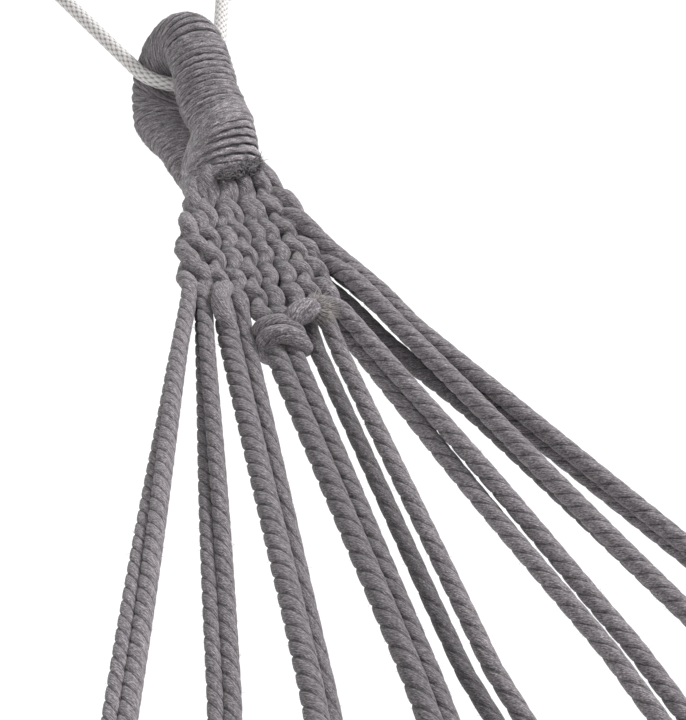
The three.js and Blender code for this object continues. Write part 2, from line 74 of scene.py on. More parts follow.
# Eye
SLING_REACH = 225.6
SLING_RADIUS = 2.5
CORE_RADIUS = 7.6
BINDING_THICKNESS = 2.1
BINDING_GAP = 0.5
HOLE_CLEARANCE = 2.4
EYE_LEG_LENGTH = 38
NECK_LENGTH = 16.5
APEX_BEHIND_NECK = 23.5
# The eye is turned about the clew's run and lies to one side of it. Both fade towards the
# neck, from a place past the eye's centre, over a run a little shorter than the eye.
EYE_ROLL = math.radians(12)
EYE_ASIDE = -2.3
ROLL_FADE_START = 6
ROLL_FADE_SHORTER = 8
# Below the arch the two legs close up, and at the end of the neck they lie together
LEG_CLEARANCE = 0.1
LEG_CLOSE_START = 2
LEG_CLOSE_RUN = 24
NECK_END_SPREAD = 1.0

# Bundle of cords inside the binding
CORE_SIDES = 28
CORE_STEP = 2
CORE_ARCH_POINTS = 24
CORE_BEYOND = 6
CORE_END_RADIUS = 7
CORE_OVERLAP = 0.1
CORE_ROUNDING = 8
CORE_CLOSED = 0.97
CORE_SINKS = 1.2
CORE_GIRTH = 50

# Yarn wound round the eye and the neck
YARN_TURN_STEPS = 34
YARN_SIDES = 16
YARN_PLIES = 3
YARN_GIRTH = 8
YARN_OVERLAP = 0.1
YARN_WIDEST = 3.4
PLY_LAY = 11
PLY_SWELL = 0.1
# Painted shade on the yarn: relief on its outer side and what its plies add, and where that side
# begins; towards its edges, where the turns meet, the relief falls to the groove shade
PLY_PAINTED_SHADE = (0.72, 0.28)
YARN_OUTSIDE = 0.3
YARN_OUTSIDE_RUN = 0.5
NECK_PATTERN = 3
# How much the turns differ in width and place, and how they lean
YARN_WIDTH_SPREAD = 0.12
YARN_SHIFT = 0.4
WRAP_TILT = 0.24
WRAP_FRONT = 0.5
BINDING_TURNS = 46
BINDING_WANDER = 0.32
BINDING_SINK = 0.95
BINDING_YARN_SHARE = 0.57
BINDING_YARN_HEIGHT = 1.25
BINDING_OVERRUN = 2
NECK_TURNS = 9.5
NECK_WANDER = 0.26
NECK_LEAN = 0.2
NECK_SINK = 0.4
NECK_YARN_SHARE = 1.1
NECK_YARN_HEIGHT = 0.8
NECK_LEAD = 3.5
NECK_BEYOND = 0.6
# Towards its end the neck is flatter, wider and further to the left
NECK_FLATTER = 1.2
NECK_WIDER = 3.2
NECK_ASIDE = -2.2
NECK_SQUARENESS = 3

# Section and surface of the cotton cords
CORD_STEP = 1.3
CORD_SIDES = 27
CORD_STRANDS = 3
GROOVE_SHARE = 0.82
STRAND_SQUARENESS = 3
CAP_RELIEF = 0.6
# Each cord reads another stretch of the cotton's pattern, this many metres on
PATTERN_STEP = 1.7

# Ends of the clew cords, in the neck and at the hem
PAIR_COUNT = 8
NECK_INSIDE = 13
NECK_STACKS = [2.6, 4.8, 7.0, 6.2, 7.0, 5.6, 3.6, 5.0]
HEM_LIFT = 4.9
EYELET_INSET = 12
EYELET_BEND_POINTS = 13
STRAIGHT_RUN = 45
ROUTE_SOFTNESS = 3

# Radius and lay of the two cords of each pair below the weave, upper one first
CORD_RADII = [
    (2.6, 2.4), (2.45, 2.3), (3.35, 2.4), (3.3, 3.0),
    (2.7, 2.5), (2.85, 2.8), (2.95, 2.9), (2.75, 2.7),
]
CORD_LAYS = [
    (14.6, 15.2), (18.0, 16.5), (17.0, 30.0), (21.0, 23.0),
    (24.0, 28.0), (20.5, 22.0), (17.5, 19.0), (19.5, 21.0),
]
# Painted shade on the same cords there, darker on the cords that lie in shade
FREE_PAINTED_SHADES = [
    (1, 1), (0.75, 0.75), (0.6, 0.6), (0.5, 0.5),
    (0.95, 0.2), (1, 1), (1, 0.2), (1, 1),
]

# Where the middle of each pair lies across the clew, by its distance from the apex. In the
# weave the left side leans out and the right side stays, and below it the pairs fan out.
PLACE_STATIONS = [18, 26, 39, 51, 63, 75, 88, 105, 240]
PAIR_PLACES = [
    [-8.6, -13.2, -17.6, -22.8, -26.0, -28.4, -33.4, -40.6, -92.8],
    [-6.6, -10.4, -15.0, -19.6, -22.6, -25.2, -28.0, -32.4, -65.8],
    [-4.2, -7.0, -10.2, -13.8, -15.2, -17.2, -19.6, -21.6, -40.4],
    [-1.6, -2.2, -3.0, -4.3, -4.6, -6.8, -8.6, -8.9, -12.1],
    [1.2, 2.4, 4.0, 5.1, 6.2, 4.4, 3.6, 4.9, 3.6],
    [3.8, 6.0, 8.6, 11.2, 13.4, 12.2, 12.0, 15.9, 45.8],
    [5.8, 7.8, 10.8, 12.6, 15.6, 20.4, 25.0, 29.8, 73.2],
    [7.2, 9.2, 12.0, 13.8, 18.2, 24.2, 29.6, 34.4, 95.4],
]
# Where each pair leaves the weave, and how far and which way it is spread below
PAIR_EXITS = [74, 80, 88, 100, 96, 92, 58, 50]
PAIR_ROLLS = [75, 80, -60, -70, 88, 85, -42, -24]
PAIR_SPREADS = [2.3, 2.15, 2.95, 3.05, 3.9, 3.6, 2.9, 2.9]
# The two cords of a pair part on their way out of the neck
PART_START = 24
PART_RUN = 24
# How far a pair lies above or behind its neighbours at the weave's right edge
PAIR_LIFTS = [0, 0, 0, 0, 0, 0, -3.6, 2.0]
LIFT_START = 24
LIFT_RUN = 12
LIFT_FADE = 24
# The lower cord of the seventh pair strays to its left below the weave
STRAY_PAIR = 6
STRAY_ASIDE = -2.6
STRAY_DROP = -2.2
STRAY_START = 58
STRAY_RUN = 18
STRAY_BACK = 95
STRAY_FADE = 50

# Pairs whose two cords lie side by side in the weave, and the side that the upper cord takes
SIDE_BY_SIDE = {2: -1, 3: -1, 4: 1}
LANE_START = 18
LANE_RUN = 11
LANE_FADE = 14
LANE_HALF = 2.75
LANE_LIFT = 2.1
LANE_BUMP = 0.8
LANE_NECK_RISE = 3.4
LANE_SLANT = 1.7
# The fifth pair opens as soon as it leaves the weave
OPEN_PAIR = 4
OPEN_HALF = 3.35
OPEN_RUN = 12

# Rows of the weave. A pair makes half a turn for each row, and the outer left pairs turn slower.
FIRST_CROSSING = 31.5
CROSSING_STEP = -0.8
ROW_AT_NECK = 11.4
ROW_AT_EXIT = 9.6
ROW_STATIONS = (34, 95)
ROW_GRID = 0.5
PAIR_TURNS = [0.72, 0.85, 1, 1, 1, 1, 1, 1]
WEAVE_ASIDES = [1.7, 2.0, 2.3, 2.3, 2.3, 2.1, 2.3, 2.3]
WEAVE_HEIGHT = 2.8
WEAVE_LAY = 23
WEAVE_GROOVE = 0.6
BUMP_RADIUS = 2.95
CROSSING_RADIUS = 2.8
NECK_CORD_RADIUS = 2.6
NECK_CORD_END = 22
NECK_CORD_RUN = 12
EXIT_LEAD = 4
EXIT_RUN = 12
# The weft draws the cords in, each pair by its own share, with painted shade in the crease between
# the bumps and on the parts of the cords that lie deep in the weave
PINCH = 0.24
PINCH_SHARES = [0.6, 0.85, 1, 1, 1, 0.9, 1, 1]
PINCH_START = 22
PINCH_RUN = 10
PINCH_SLANT = 1.9
PINCH_NARROWNESS = 5
PINCH_SHADE = 0.9
CREASE_RISE = 4.6
CREASE_SHADE = 0.1

# Weft
WEFT_ROWS = 12
WEFT_LAST_PAIR = 5
WEFT_RADIUS_SHARE = 0.545
WEFT_STEP_SHARE = 0.75
WEFT_LAY = 26
WEFT_GROOVE = 0.45
WEFT_BEGIN = 0.151
WEFT_PATTERN = 11
# The rows lie by turns nearer and deeper at each pair, and sink to the rim of the neck
WEFT_SINK = -1.8
WEFT_WAVE = 0.9
WEFT_SWELL = 0.25
WEFT_NECK_SINK = 4.5
WEFT_NECK_START = 24
WEFT_NECK_RUN = 14
# Turns at the two edges: how far outside, how thick, and the rise at shares of the way round
WEFT_LEFT_EDGE = 1.0
WEFT_RIGHT_EDGE = 0.6
WEFT_TURN_RADIUS = 2.3
WEFT_TURN = ((0.15, 0.6), (0.5, 1.2), (0.85, 0.6))
# Distance from the apex, place across, height and radius, at the neck and below the weave
WEFT_START = (17.0, -3.0, -2.0, 2.3)
WEFT_LOOSE = [
    (84.0, -19.8, 2.0, 2.3), (83.8, -20.3, 5.0, 2.6), (87.6, -23.0, 6.4, 2.8),
    (91.5, -24.7, 6.4, 2.8), (95.2, -25.0, 5.4, 2.7), (98.2, -23.6, 3.2, 2.6),
    (101.0, -21.0, -2.6, 2.4), (100.0, -16.4, -4.6, 2.4), (100.8, -14.6, 0.5, 2.7),
    (101.8, -13.4, 4.2, 2.9), (103.6, -9.4, 6.6, 3.0), (105.4, -5.4, 5.2, 2.8),
    (106.0, -3.2, 0.6, 2.5), (106.0, -6.5, -4.6, 2.4), (105.8, -12.6, -4.4, 2.5),
    (105.6, -14.4, 0.2, 2.7), (106.2, -13.4, 4.0, 2.9), (108.0, -9.6, 6.0, 3.0),
    (109.8, -5.4, 4.9, 2.8), (109.2, -2.4, 1.0, 2.5), (106.5, -3.0, -2.2, 2.4),
    (104.8, -7.0, 1.6, 2.4), (103.6, -7.2, 5.6, 3.1), (102.2, -4.2, 8.0, 3.7),
    (100.9, -0.8, 8.4, 3.9), (99.9, 2.2, 7.8, 3.4),
]
# The knotted end is laid more loosely
WEFT_KNOT_RUN = 82
WEFT_KNOT_LAY = 44
WEFT_KNOT_FADE = 12
WEFT_KNOT_GROOVE = 0.85

# Single fibres: needles with one bend. Points 0 to 2 stand at the root, 3 to 5 at the bend
# and 6 at the tip.
FIBRE_SIDES = 3
FIBRE_POINTS = 7
FIBRE_FACES = [
    (2, 1, 0), (0, 1, 4, 3), (1, 2, 5, 4), (2, 0, 3, 5), (3, 4, 6), (4, 5, 6), (5, 3, 6),
]
FIBRE_MIDDLE = 0.5
FIBRE_TIP = 0.85
FIBRE_TAPER = 0.8
# Painted shade at a fibre's root, growing lighter to its tip
FIBRE_ROOT_PAINTED_SHADE = 0.2
FIBRE_STEEP = 0.8

# Loose fibres on every cord and yarn
FUZZ_RADIUS = 0.042
FUZZ_LENGTH = (0.9, 2.6)
FUZZ_SINK = 0.1
FUZZ_OUT = (0.25, 1.0)
FUZZ_ALONG = 1.3
FUZZ_AROUND = 0.8
FUZZ_BEND = 0.7
EYE_FUZZ_SHARE = 0.6

# Frayed end of the weft
FRAY_FIBRES = 95
FRAY_RADIUS = 0.24
FRAY_LENGTH = (6.0, 8.6)
FRAY_OPENING = (-1.15, 1.3)
FRAY_RISE = (0.14, 0.09)
FRAY_ROOT_FAN = 2.2
FRAY_ROOT_DEPTH = 1.2
FRAY_ROOT_BACK = 1.6
FRAY_ROOT_HEIGHTS = (-1.1, 1.4)
FRAY_BEND = 0.09
FRAY_REACH = 0.5

# Frayed end of the whipping, a band from the neck's left to its right
TUFT_FIBRES = 900
TUFT_RADIUS = 0.25
TUFT_TONES = (0.3, 1.8)
TUFT_REACH = (-8.0, 7.0)
TUFT_STATIONS = (32.6, 27.4)
TUFT_STATION_SPREAD = 1.1
TUFT_HEIGHTS = (9.4, 9.1)
TUFT_HEIGHT_SPREAD = (-1.6, 1.4)
TUFT_FORWARD = (0.55, 0.7)
TUFT_ACROSS = (0.15, 0.8)
TUFT_UPWARD = (0.1, 1.1)
TUFT_BEND = 1.2
TUFT_LENGTH = (1.5, 3.4)

# Sling route, from inside the eye's arch to the far side of the post
SLING_HALF = [
    (13.3, 0), (12.5, 5.1), (10.2, 9.6), (7, 12.7), (3.7, 14.4), (-3.9, 16.9), (-28.6, 24.9),
    (-81.9, 42.2), (-105.7, 49.9), (-132.5, 58.6), (-144.8, 61.5), (-157.1, 62.5),
    (-170.6, 61.4), (-183.7, 57.9), (-195.8, 52.4), (-207.3, 44.2), (-216.6, 34),
    (-222.9, 23.4), (-226.8, 11.9), (-228.1, 0),
]
SLING_STEP = 0.45
SLING_SIDES = 36
# Two places on the rope, on either side of its bight. They are worked out, but the rope is not
# turned with the eye.
BIGHT_TURNS = (-42, 4)
BRAID_STRANDS = 8
BRAID_LAY = 30
BRAID_DEPTH = 0.25
# Height of a strand where it dives under, and what it gains between
BRAID_SWELL = (0.45, 0.55)

# Barrel knot of the sling: its place and run, its wraps and its short end
KNOT_PLACE = (-55.3, 33.6)
KNOT_RUN = (-0.951, 0.309)
KNOT_LENGTH = 22
KNOT_GAP = 0.3
KNOT_WRAPS = 3.2
KNOT_WRAP_POINTS = 34
KNOT_WRAP_RADIUS = 5.2
KNOT_WRAP_REACH = 0.56
# The first wrap grows from this share of its radius, at this rate
KNOT_WRAP_START = 0.45
KNOT_WRAP_GROWTH = 4
KNOT_ROPE_RADIUS = 2.35
KNOT_ENTRIES = (0.98, 0.72)
KNOT_ENTRY_ASIDE = 1.0
# Two points of the short end: how far past the last wrap, and how far below it
KNOT_TAIL = ((2.5, 1.5), (7.0, 2))
KNOT_STEP_SHARE = 1.3
KNOT_PATTERNS = (2, 3)

# Bed cloth
CLOTH_WIDTH = 900
BED_SLACK = 140
CLOTH_FINE_THICKNESS = 1.4
CLOTH_HEM_THICKNESS = 2.6
CLOTH_ROWS = 120
HEM_MARGIN = 18
HEM_BAND = 25
SIDE_HEM = 12
FOLD_STEPS = 10
FLAT_STEPS = 3
EYELET_FLAT = 16
WIDTH_ROUNDS = 40
# Wrinkles: height, waves across the cut, drift along the bed, phase, and growth to the ends
WRINKLE_HEIGHT = 2.2
WRINKLE_WAVES = (0.083, 0.031)
WRINKLE_DRIFT = 3.1
WRINKLE_PHASE = 1.7
WRINKLE_GROWTH = (0.35, 0.65)
GRID_NUDGE = 0.4
GRID_EDGE = 1.001

# Stitches and eyelets
STITCH_PITCH = 3.6
STITCH_LENGTH = 2.5
STITCH_RADIUS = 0.32
STITCH_SIDES = 6
STITCH_PROFILE = ((-1, 0), (-0.6, 1), (0.6, 1), (1, 0))
STITCH_STAND = 0.3
SEAM_INSETS = (2, 6)
SEAM_END = 4
EYELET_RADIUS = 5.6
EYELET_THREAD = 1.5
EYELET_RIDGE = (0.86, 0.14)
EYELET_STITCHES = 34
EYELET_STITCH_STEPS = 4
EYELET_SIDES = 12

# Seeds of the random draws
CORD_SEED = 7
BINDING_SEED = 8
NECK_SEED = 9
FRAY_SEED = 10
TUFT_SEED = 11
EYE_SEED = 12

# Numbers that the helpers use. The last two are sockets of a colour mix.
CURVE_STEPS = 24
STEEP_RUN = 0.9
MIX_COLOURS = (6, 7)
MIX_RESULT = 2

# Heather cotton. Patterns are scaled along and across the yarn, and a stop of a ramp is a
# place and a level.
HEATHER_TINT = (1.035, 0.94, 1.01)
COTTON_ROUGHNESS = 0.93
COTTON_SPECULAR = 0.25
COTTON_SHEEN = 0.25
COTTON_SHEEN_ROUGHNESS = 0.6
CORD_STREAKS = (700, 2400)
YARN_STREAKS = (280, 1500)
THREAD_STREAKS = (300, 2500)
STREAK_DETAIL = 4.0
FLECK_SCALES = (1900, 3000)
FLECK_DETAIL = 1.0
FLECK_SHARE = 0.9
PATCH_SCALES = (55, 160)
PATCH_DETAIL = 2.0
STREAK_STOPS = [(0.34, 0.45), (0.47, 0.86), (0.55, 1.12), (0.66, 1.8)]
FLECK_STOPS = [(0.3, 0.5), (0.5, 1.0), (0.66, 1.7)]
PATCH_STOPS = [(0.3, 0.88), (0.7, 1.12)]
# Painted shade: the colour is scaled down where the relief is low, from the groove level at nought
RELIEF_SHADE_STOPS = [(0.45, 0.8), (1.0, 1.03)]
STREAK_BUMP = (0.75, 0.00035)
FLECK_BUMP = (0.5, 0.0002)
# Level of each cord, and level and painted shade, where the relief is lowest, of the other cotton
# pieces
# The cords differ in level by painted light and shade: cords that lie in the light are set
# lighter, cords in shade darker
CORD_LEVELS = [0.262, 0.235, 0.245, 0.228, 0.24, 0.252, 0.25, 0.252]
CORD_GROOVE_SHADE = 0.34
BINDING_TONES = (0.245, 0.5)
WHIPPING_TONES = (0.29, 0.74)
FUZZ_TONES = (0.3, 0.85)
TUFT_LEVELS = (0.25, 0.2)
THREAD_TONES = (0.17, 0.5)

# Frayed end of the weft, between two colours
FRAY_ROUGHNESS = 0.9
FRAY_SCALE = 900
FRAY_DETAIL = 3.0
FRAY_COLOURS = [(0.35, (0.2, 0.184, 0.186, 1)), (0.65, (0.5, 0.458, 0.44, 1))]

# White braid
ROPE_ROUGHNESS = 0.4
ROPE_SHEEN = 0.1
ROPE_COAT = 0.25
ROPE_COAT_ROUGHNESS = 0.3
# The braid's colour by place on a strand: white on the strand, painted shade towards its edges and
# in the gaps between strands
ROPE_EDGE_SHARES = (1.5, 0.7)
ROPE_SHADE_COLOURS = [
    (0.44, (0.95, 0.935, 0.93, 1)), (0.72, (0.66, 0.62, 0.6, 1)), (1.0, (0.24, 0.21, 0.195, 1)),
]
ROPE_FIBRE_SCALES = (900, 5000)
ROPE_FIBRE_DETAIL = 2.0
ROPE_FIBRE_STOPS = [(0.3, 0.85), (0.7, 1.08)]
ROPE_BUMP = (0.5, 0.0002)

# Canvas
CANVAS_ROUGHNESS = 0.9
CANVAS_SPECULAR = 0.25
CANVAS_SHEEN = 0.2
CANVAS_WAVES = (4200, 2100)
CANVAS_YARN_SCALES = (40, 1400)
CANVAS_PATCH_SCALES = (9, 14)
CANVAS_DETAIL = 3.0
CANVAS_STOPS = [(0.3, 0.14), (0.5, 0.215), (0.7, 0.33)]
CANVAS_PATCH_STOPS = [(0.3, 0.88), (0.7, 1.1)]
CANVAS_HEM_STOPS = [(0.0, 0.9), (0.9, 0.95), (0.94, 0.55), (0.98, 1.0)]
CANVAS_WEAVE_BUMP = (0.6, 0.0003)
CANVAS_YARN_BUMP = (0.4, 0.0004)

# Camera, from the apex of the fan
CAMERA_AZIMUTH = math.radians(69)
CAMERA_ELEVATION = math.radians(12)
CAMERA_DISTANCE = 764
FOCAL_PIXELS = 2300
IMAGE_WIDTH = 686
IMAGE_HEIGHT = 720
SENSOR = 36
CLIP_START = 0.02
APEX_PIXEL = (212, 140)

# Stage. A lamp is a name, the way towards it, its width in degrees and its strength.
FLOOR_DROP = 0.45
FLOOR_SIZE = 60
FLOOR_COLOUR = (0.8, 0.8, 0.8, 1)
FLOOR_GLOW = 0.3
FLOOR_GRAIN_SCALE = 3
FLOOR_GRAIN_DETAIL = 3.0
FLOOR_GRAIN_STOPS = [(0.3, 0.985), (0.7, 1)]
WORLD_LEVEL = 0.38
LAMPS = [
    ("key", (0.35, 1.15, 1.3), 20, 2.5),
    ("fill", (0.9, -0.6, 0.5), 60, 0.3),
]

# Places worked out from the sizes above
binding_radius = CORE_RADIUS + BINDING_GAP + BINDING_THICKNESS
arch_radius = binding_radius + SLING_RADIUS + HOLE_CLEARANCE
arch_run = math.pi * arch_radius
eye_centre = SLING_REACH + arch_radius
neck_start = eye_centre + EYE_LEG_LENGTH
leg_run = neck_start - eye_centre
neck_end = neck_start + NECK_LENGTH
apex = neck_end - APEX_BEHIND_NECK
hem_edge = apex + HEM_DISTANCE
hem_x = hem_edge * math.cos(CLEW_SLOPE)
hem_z = -hem_edge * math.sin(CLEW_SLOPE)
hem_width = (PAIR_COUNT - 1) * HEM_PITCH + 2 * HEM_MARGIN
bed_width = CLOTH_WIDTH - BED_SLACK
bed_sag = BED_LENGTH * math.tan(CLEW_SLOPE) / 4
span = 2 * hem_x + BED_LENGTH


# Helpers

def lerp(low, high, share):
    return low + (high - low) * share


def smooth(share):
    s = np.clip(share, 0, 1)
    return s * s * (3 - 2 * s)


def rising(place, start, run):
    """A share that grows from 0 at the start to 1 at the end of the run."""
    return smooth((place - start) / run)


def unit(vectors):
    return vectors / np.linalg.norm(vectors, axis=-1, keepdims=True)


def placed(points, end):
    """Points of one clew's own frame, in millimetres, as points of the model in metres."""
    points = np.asarray(points, float)
    cos, sin = math.cos(CLEW_SLOPE), math.sin(CLEW_SLOPE)
    x = points[..., 0] * cos + points[..., 2] * sin
    y = points[..., 1]
    z = points[..., 2] * cos - points[..., 0] * sin
    if end == "right":
        x = span - x
        y = -y
    return np.stack((x, y, z), axis=-1) * MM


def arc_lengths(points):
    steps = np.linalg.norm(np.diff(points, axis=0), axis=1)
    return np.concatenate(([0], np.cumsum(steps)))


def resampled(points, step):
    """The same route, or table of places along it, at points an even step apart."""
    points = np.asarray(points, float)
    lengths = arc_lengths(points)
    count = max(int(round(lengths[-1] / step)), 2)
    at = np.linspace(0, lengths[-1], count + 1)
    columns = [np.interp(at, lengths, points[:, k]) for k in range(points.shape[1])]
    return np.stack(columns, axis=1)


def eased(values, reach):
    """Values softened over a window of that many steps to each side."""
    values = np.asarray(values, float)
    flat = values.ndim == 1
    table = values[:, None] if flat else values
    window = np.hanning(2 * reach + 3)[1:-1]
    window /= window.sum()
    before = 2 * table[:1] - table[reach:0:-1]
    after = 2 * table[-1:] - table[-2:-reach - 2:-1]
    longer = np.concatenate((before, table, after))
    soft = np.stack([np.convolve(column, window, "valid") for column in longer.T], axis=1)
    return soft[:, 0] if flat else soft


def curve_through(points, step):
    """A smooth route through given points."""
    points = np.asarray(points, float)
    before = 2 * points[0] - points[1]
    after = 2 * points[-1] - points[-2]
    knots = np.vstack((before, points, after))
    fine = []
    for k in range(1, len(knots) - 2):
        a, b, c, d = knots[k - 1:k + 3]
        for t in np.linspace(0, 1, CURVE_STEPS, endpoint=False):
            fine.append(0.5 * (2 * b + (c - a) * t + (2 * a - 5 * b + 4 * c - d) * t * t
                               + (3 * b - a - 3 * c + d) * t ** 3))
    fine.append(knots[-2])
    return resampled(fine, step)


def frames_along(points):
    """The run of a route and two normals that are carried along it without twisting."""
    run = unit(np.gradient(points, axis=0))
    normal = np.zeros_like(run)
    start = UP
    if abs(run[0, 2]) > STEEP_RUN:
        start = np.array([0.0, 1.0, 0.0])
    for k, direction in enumerate(run):
        start = start - direction * start.dot(direction)
        start /= np.linalg.norm(start)
        normal[k] = start
    return run, normal, np.cross(run, normal)


def mesh_object(name, points, faces, uvs=None, relief=None):
    mesh = bpy.data.meshes.new(name)
    mesh.from_pydata(points, [], faces)
    mesh.update()
    if uvs is not None:
        layer = mesh.uv_layers.new(name="UVMap")
        layer.data.foreach_set("uv", np.asarray(uvs, np.float32).ravel())
    # The relief attribute carries painted shade for the cotton and thread materials, which darken
    # a surface where its relief is low: in grooves, creases and at fibre roots
    if relief is not None:
        attribute = mesh.attributes.new("relief", "FLOAT", "POINT")
        attribute.data.foreach_set("value", np.asarray(relief, np.float32))
    mesh.polygons.foreach_set("use_smooth", [True] * len(mesh.polygons))
    obj = bpy.data.objects.new(name, mesh)
    bpy.context.scene.collection.objects.link(obj)
    return obj


def applied(obj):
    bpy.ops.object.select_all(action="DESELECT")
    obj.select_set(True)
    bpy.context.view_layer.objects.active = obj
    for modifier in list(obj.modifiers):
        bpy.ops.object.modifier_apply(modifier=modifier.name)


def finish_piece(obj, material, body, nodes=()):
    obj.data.materials.append(material)
    if body:
        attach(obj, body)
    if nodes:
        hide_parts(*nodes)


class Skin:
    """Rings of points that are skinned one after another into closed tubes of one mesh."""

    def __init__(self):
        self.points = []
        self.faces = []
        self.uvs = []
        self.relief = []
        self.count = 0

    def tube(self, rings, relief, along, around):
        """Adds a closed tube. Along is each ring's place on it, around its girth in metres."""
        rings = np.asarray(rings)
        total, sides = rings.shape[:2]
        first = self.count
        index = first + np.arange(total * sides).reshape(total, sides)
        turned = np.roll(index, -1, axis=1)
        quads = np.stack((index[:-1], turned[:-1], turned[1:], index[1:]), axis=-1)
        self.faces.extend(quads.reshape(-1, 4).tolist())
        u = np.asarray(along)
        v = np.arange(sides + 1) / sides * around
        corner_u = np.stack((u[:-1], u[:-1], u[1:], u[1:]), axis=-1)[:, None, :]
        corner_v = np.stack((v[:-1], v[1:], v[1:], v[:-1]), axis=-1)[None, :, :]
        shape = (total - 1, sides, 4)
        corners = np.stack(
            (np.broadcast_to(corner_u, shape), np.broadcast_to(corner_v, shape)), axis=-1)
        self.uvs.append(corners.reshape(-1, 2))
        self.points.append(rings.reshape(-1, 3))
        self.relief.append(np.asarray(relief, float).reshape(-1))
        middles = np.stack((rings[0].mean(axis=0), rings[-1].mean(axis=0)))
        self.points.append(middles)
        self.relief.append(np.full(2, CAP_RELIEF))
        near = first + total * sides
        far = near + 1
        caps = [[near, b, a] for a, b in zip(index[0], turned[0])]
        caps += [[far, a, b] for a, b in zip(index[-1], turned[-1])]
        self.faces.extend([[int(v) for v in cap] for cap in caps])
        start, stop = float(u[0]), float(u[-1])
        cap_uvs = [(start, 0)] * (3 * sides) + [(stop, 0)] * (3 * sides)
        self.uvs.append(np.array(cap_uvs))
        self.count += total * sides + 2

    def built(self, name):
        points, uvs, relief = map(np.concatenate, (self.points, self.uvs, self.relief))
        return mesh_object(name, points, self.faces, uvs, relief)


def ring_points(centres, normals, sides_way, angles, radii):
    """Rings of points round a route: angles and radii hold one row for each ring."""
    out = (np.cos(angles)[..., None] * normals[:, None, :]
           + np.sin(angles)[..., None] * sides_way[:, None, :])
    return centres[:, None, :] + radii[..., None] * out


def laid_section(sides):
    """The shape of a three-strand cord's section: share of the radius, and relief, which the
    materials turn into painted shade in the grooves between strands.
    """
    angles = 2 * math.pi * np.arange(sides) / sides
    within = (angles * CORD_STRANDS / (2 * math.pi)) % 1
    away = np.abs(2 * within - 1)
    crown = np.sqrt(np.maximum(1 - away ** STRAND_SQUARENESS, 0))
    return angles, GROOVE_SHARE + (1 - GROOVE_SHARE) * crown, crown


def laid_cord(skin, route, radii, lays, end, offset, depth, pinch=None, phase=None, shade=None,
              begin=0):
    """Adds a left-laid three-strand cord to a skin. Radii, lays, depth and pinch follow the route.

    A pinch draws the cord in, on a slant, wherever the phase of the weave comes round, and paints
    shade into that crease; with a pinch, the parts of the cord near the weave's middle height get
    painted shade too. A shade is painted shade over the whole section.
    """
    lengths = arc_lengths(route)
    run, normal, side = frames_along(route)
    turns = np.concatenate(([0], np.cumsum(np.diff(lengths) / ((lays[1:] + lays[:-1]) / 2))))
    angles, share, crown = laid_section(CORD_SIDES)
    share = 1 - (1 - share)[None, :] * depth[:, None]
    relief = 1 - (1 - crown)[None, :] * depth[:, None]
    turned = angles[None, :] - 2 * math.pi * (turns[:, None] + begin)
    if pinch is not None:
        waves = np.cos(phase[:, None] + PINCH_SLANT * np.sin(turned))
        drawn = np.clip(0.5 - 0.5 * waves, 0, 1) ** PINCH_NARROWNESS
        share = share * (1 - PINCH * pinch[:, None] * drawn)
        # Painted shade in the slanted crease where the weft draws the cord in
        relief = relief * (1 - PINCH_SHADE * pinch[:, None] * drawn)
    rings = ring_points(route, normal, side, turned, radii[:, None] * share)
    if pinch is not None:
        # Painted shade, darker where the cord lies near the weave's middle height
        rise = smooth(np.abs(rings[..., 2]) / CREASE_RISE)
        crease = CREASE_SHADE + (1 - CREASE_SHADE) * rise
        relief = relief * lerp(1, crease, pinch[:, None])
    if shade is not None:
        # Painted shade over the whole section
        relief = relief * shade[:, None]
    girth = 2 * math.pi * float(np.mean(radii)) * MM
    skin.tube(placed(rings, end), relief, lengths * MM + offset, girth)
    return rings


# Fibres

def fibre_mesh(name, roots, ways, bends, lengths, radius, end, tones=1):
    """Many thin fibres in one mesh: each is a three-sided needle with one bend and its tone, and
    painted shade at its root.
    """
    ways = unit(ways)
    helper = np.where(np.abs(ways[:, :1]) > FIBRE_STEEP, [[0.0, 1.0, 0.0]], [[1.0, 0.0, 0.0]])
    first = unit(np.cross(ways, helper))
    second = np.cross(ways, first)
    lengths = np.asarray(lengths)[:, None]
    middle = roots + ways * lengths * FIBRE_MIDDLE
    tip = roots + ways * lengths * FIBRE_TIP + bends * lengths * FIBRE_MIDDLE
    parts = []
    for base, size in ((roots, radius), (middle, radius * FIBRE_TAPER)):
        for k in range(FIBRE_SIDES):
            angle = 2 * math.pi * k / FIBRE_SIDES
            parts.append(base + size * (math.cos(angle) * first + math.sin(angle) * second))
    parts.append(tip)
    points = np.stack(parts, axis=1)
    faces = []
    for first_point in range(0, FIBRE_POINTS * len(points), FIBRE_POINTS):
        faces.extend([tuple(first_point + v for v in face) for face in FIBRE_FACES])
    flat = points.reshape(-1, 3)
    # Painted shade: each fibre is darker at its root and lighter towards its tip, times its own
    # tone
    tones = np.broadcast_to(tones, len(points))
    shades = tones[:, None] * np.linspace(FIBRE_ROOT_PAINTED_SHADE, 1, FIBRE_POINTS)[None, :]
    return mesh_object(name, placed(flat, end), faces, relief=shades.ravel())


def fuzz_on(rings, per_ring, chance):
    """Roots, directions and bends of loose fibres on the outside of a tube's rings."""
    total, sides = rings.shape[:2]
    middles = rings.mean(axis=1)
    run = unit(np.gradient(middles, axis=0))
    picks = chance.integers(0, sides, (total, per_ring))
    index = np.arange(total)[:, None]
    roots = rings[index, picks]
    out = unit(roots - middles[:, None, :])
    size = (total, per_ring, 1)
    along = run[:, None, :] * chance.uniform(-FUZZ_ALONG, FUZZ_ALONG, size)
    around = np.cross(run[:, None, :], out) * chance.uniform(-FUZZ_AROUND, FUZZ_AROUND, size)
    ways = out * chance.uniform(*FUZZ_OUT, size) + along + around
    bends = unit(chance.normal(0, 1, roots.shape)) * FUZZ_BEND
    sunk = roots - out * FUZZ_SINK
    return sunk.reshape(-1, 3), ways.reshape(-1, 3), bends.reshape(-1, 3)


# Routes of the clew cords

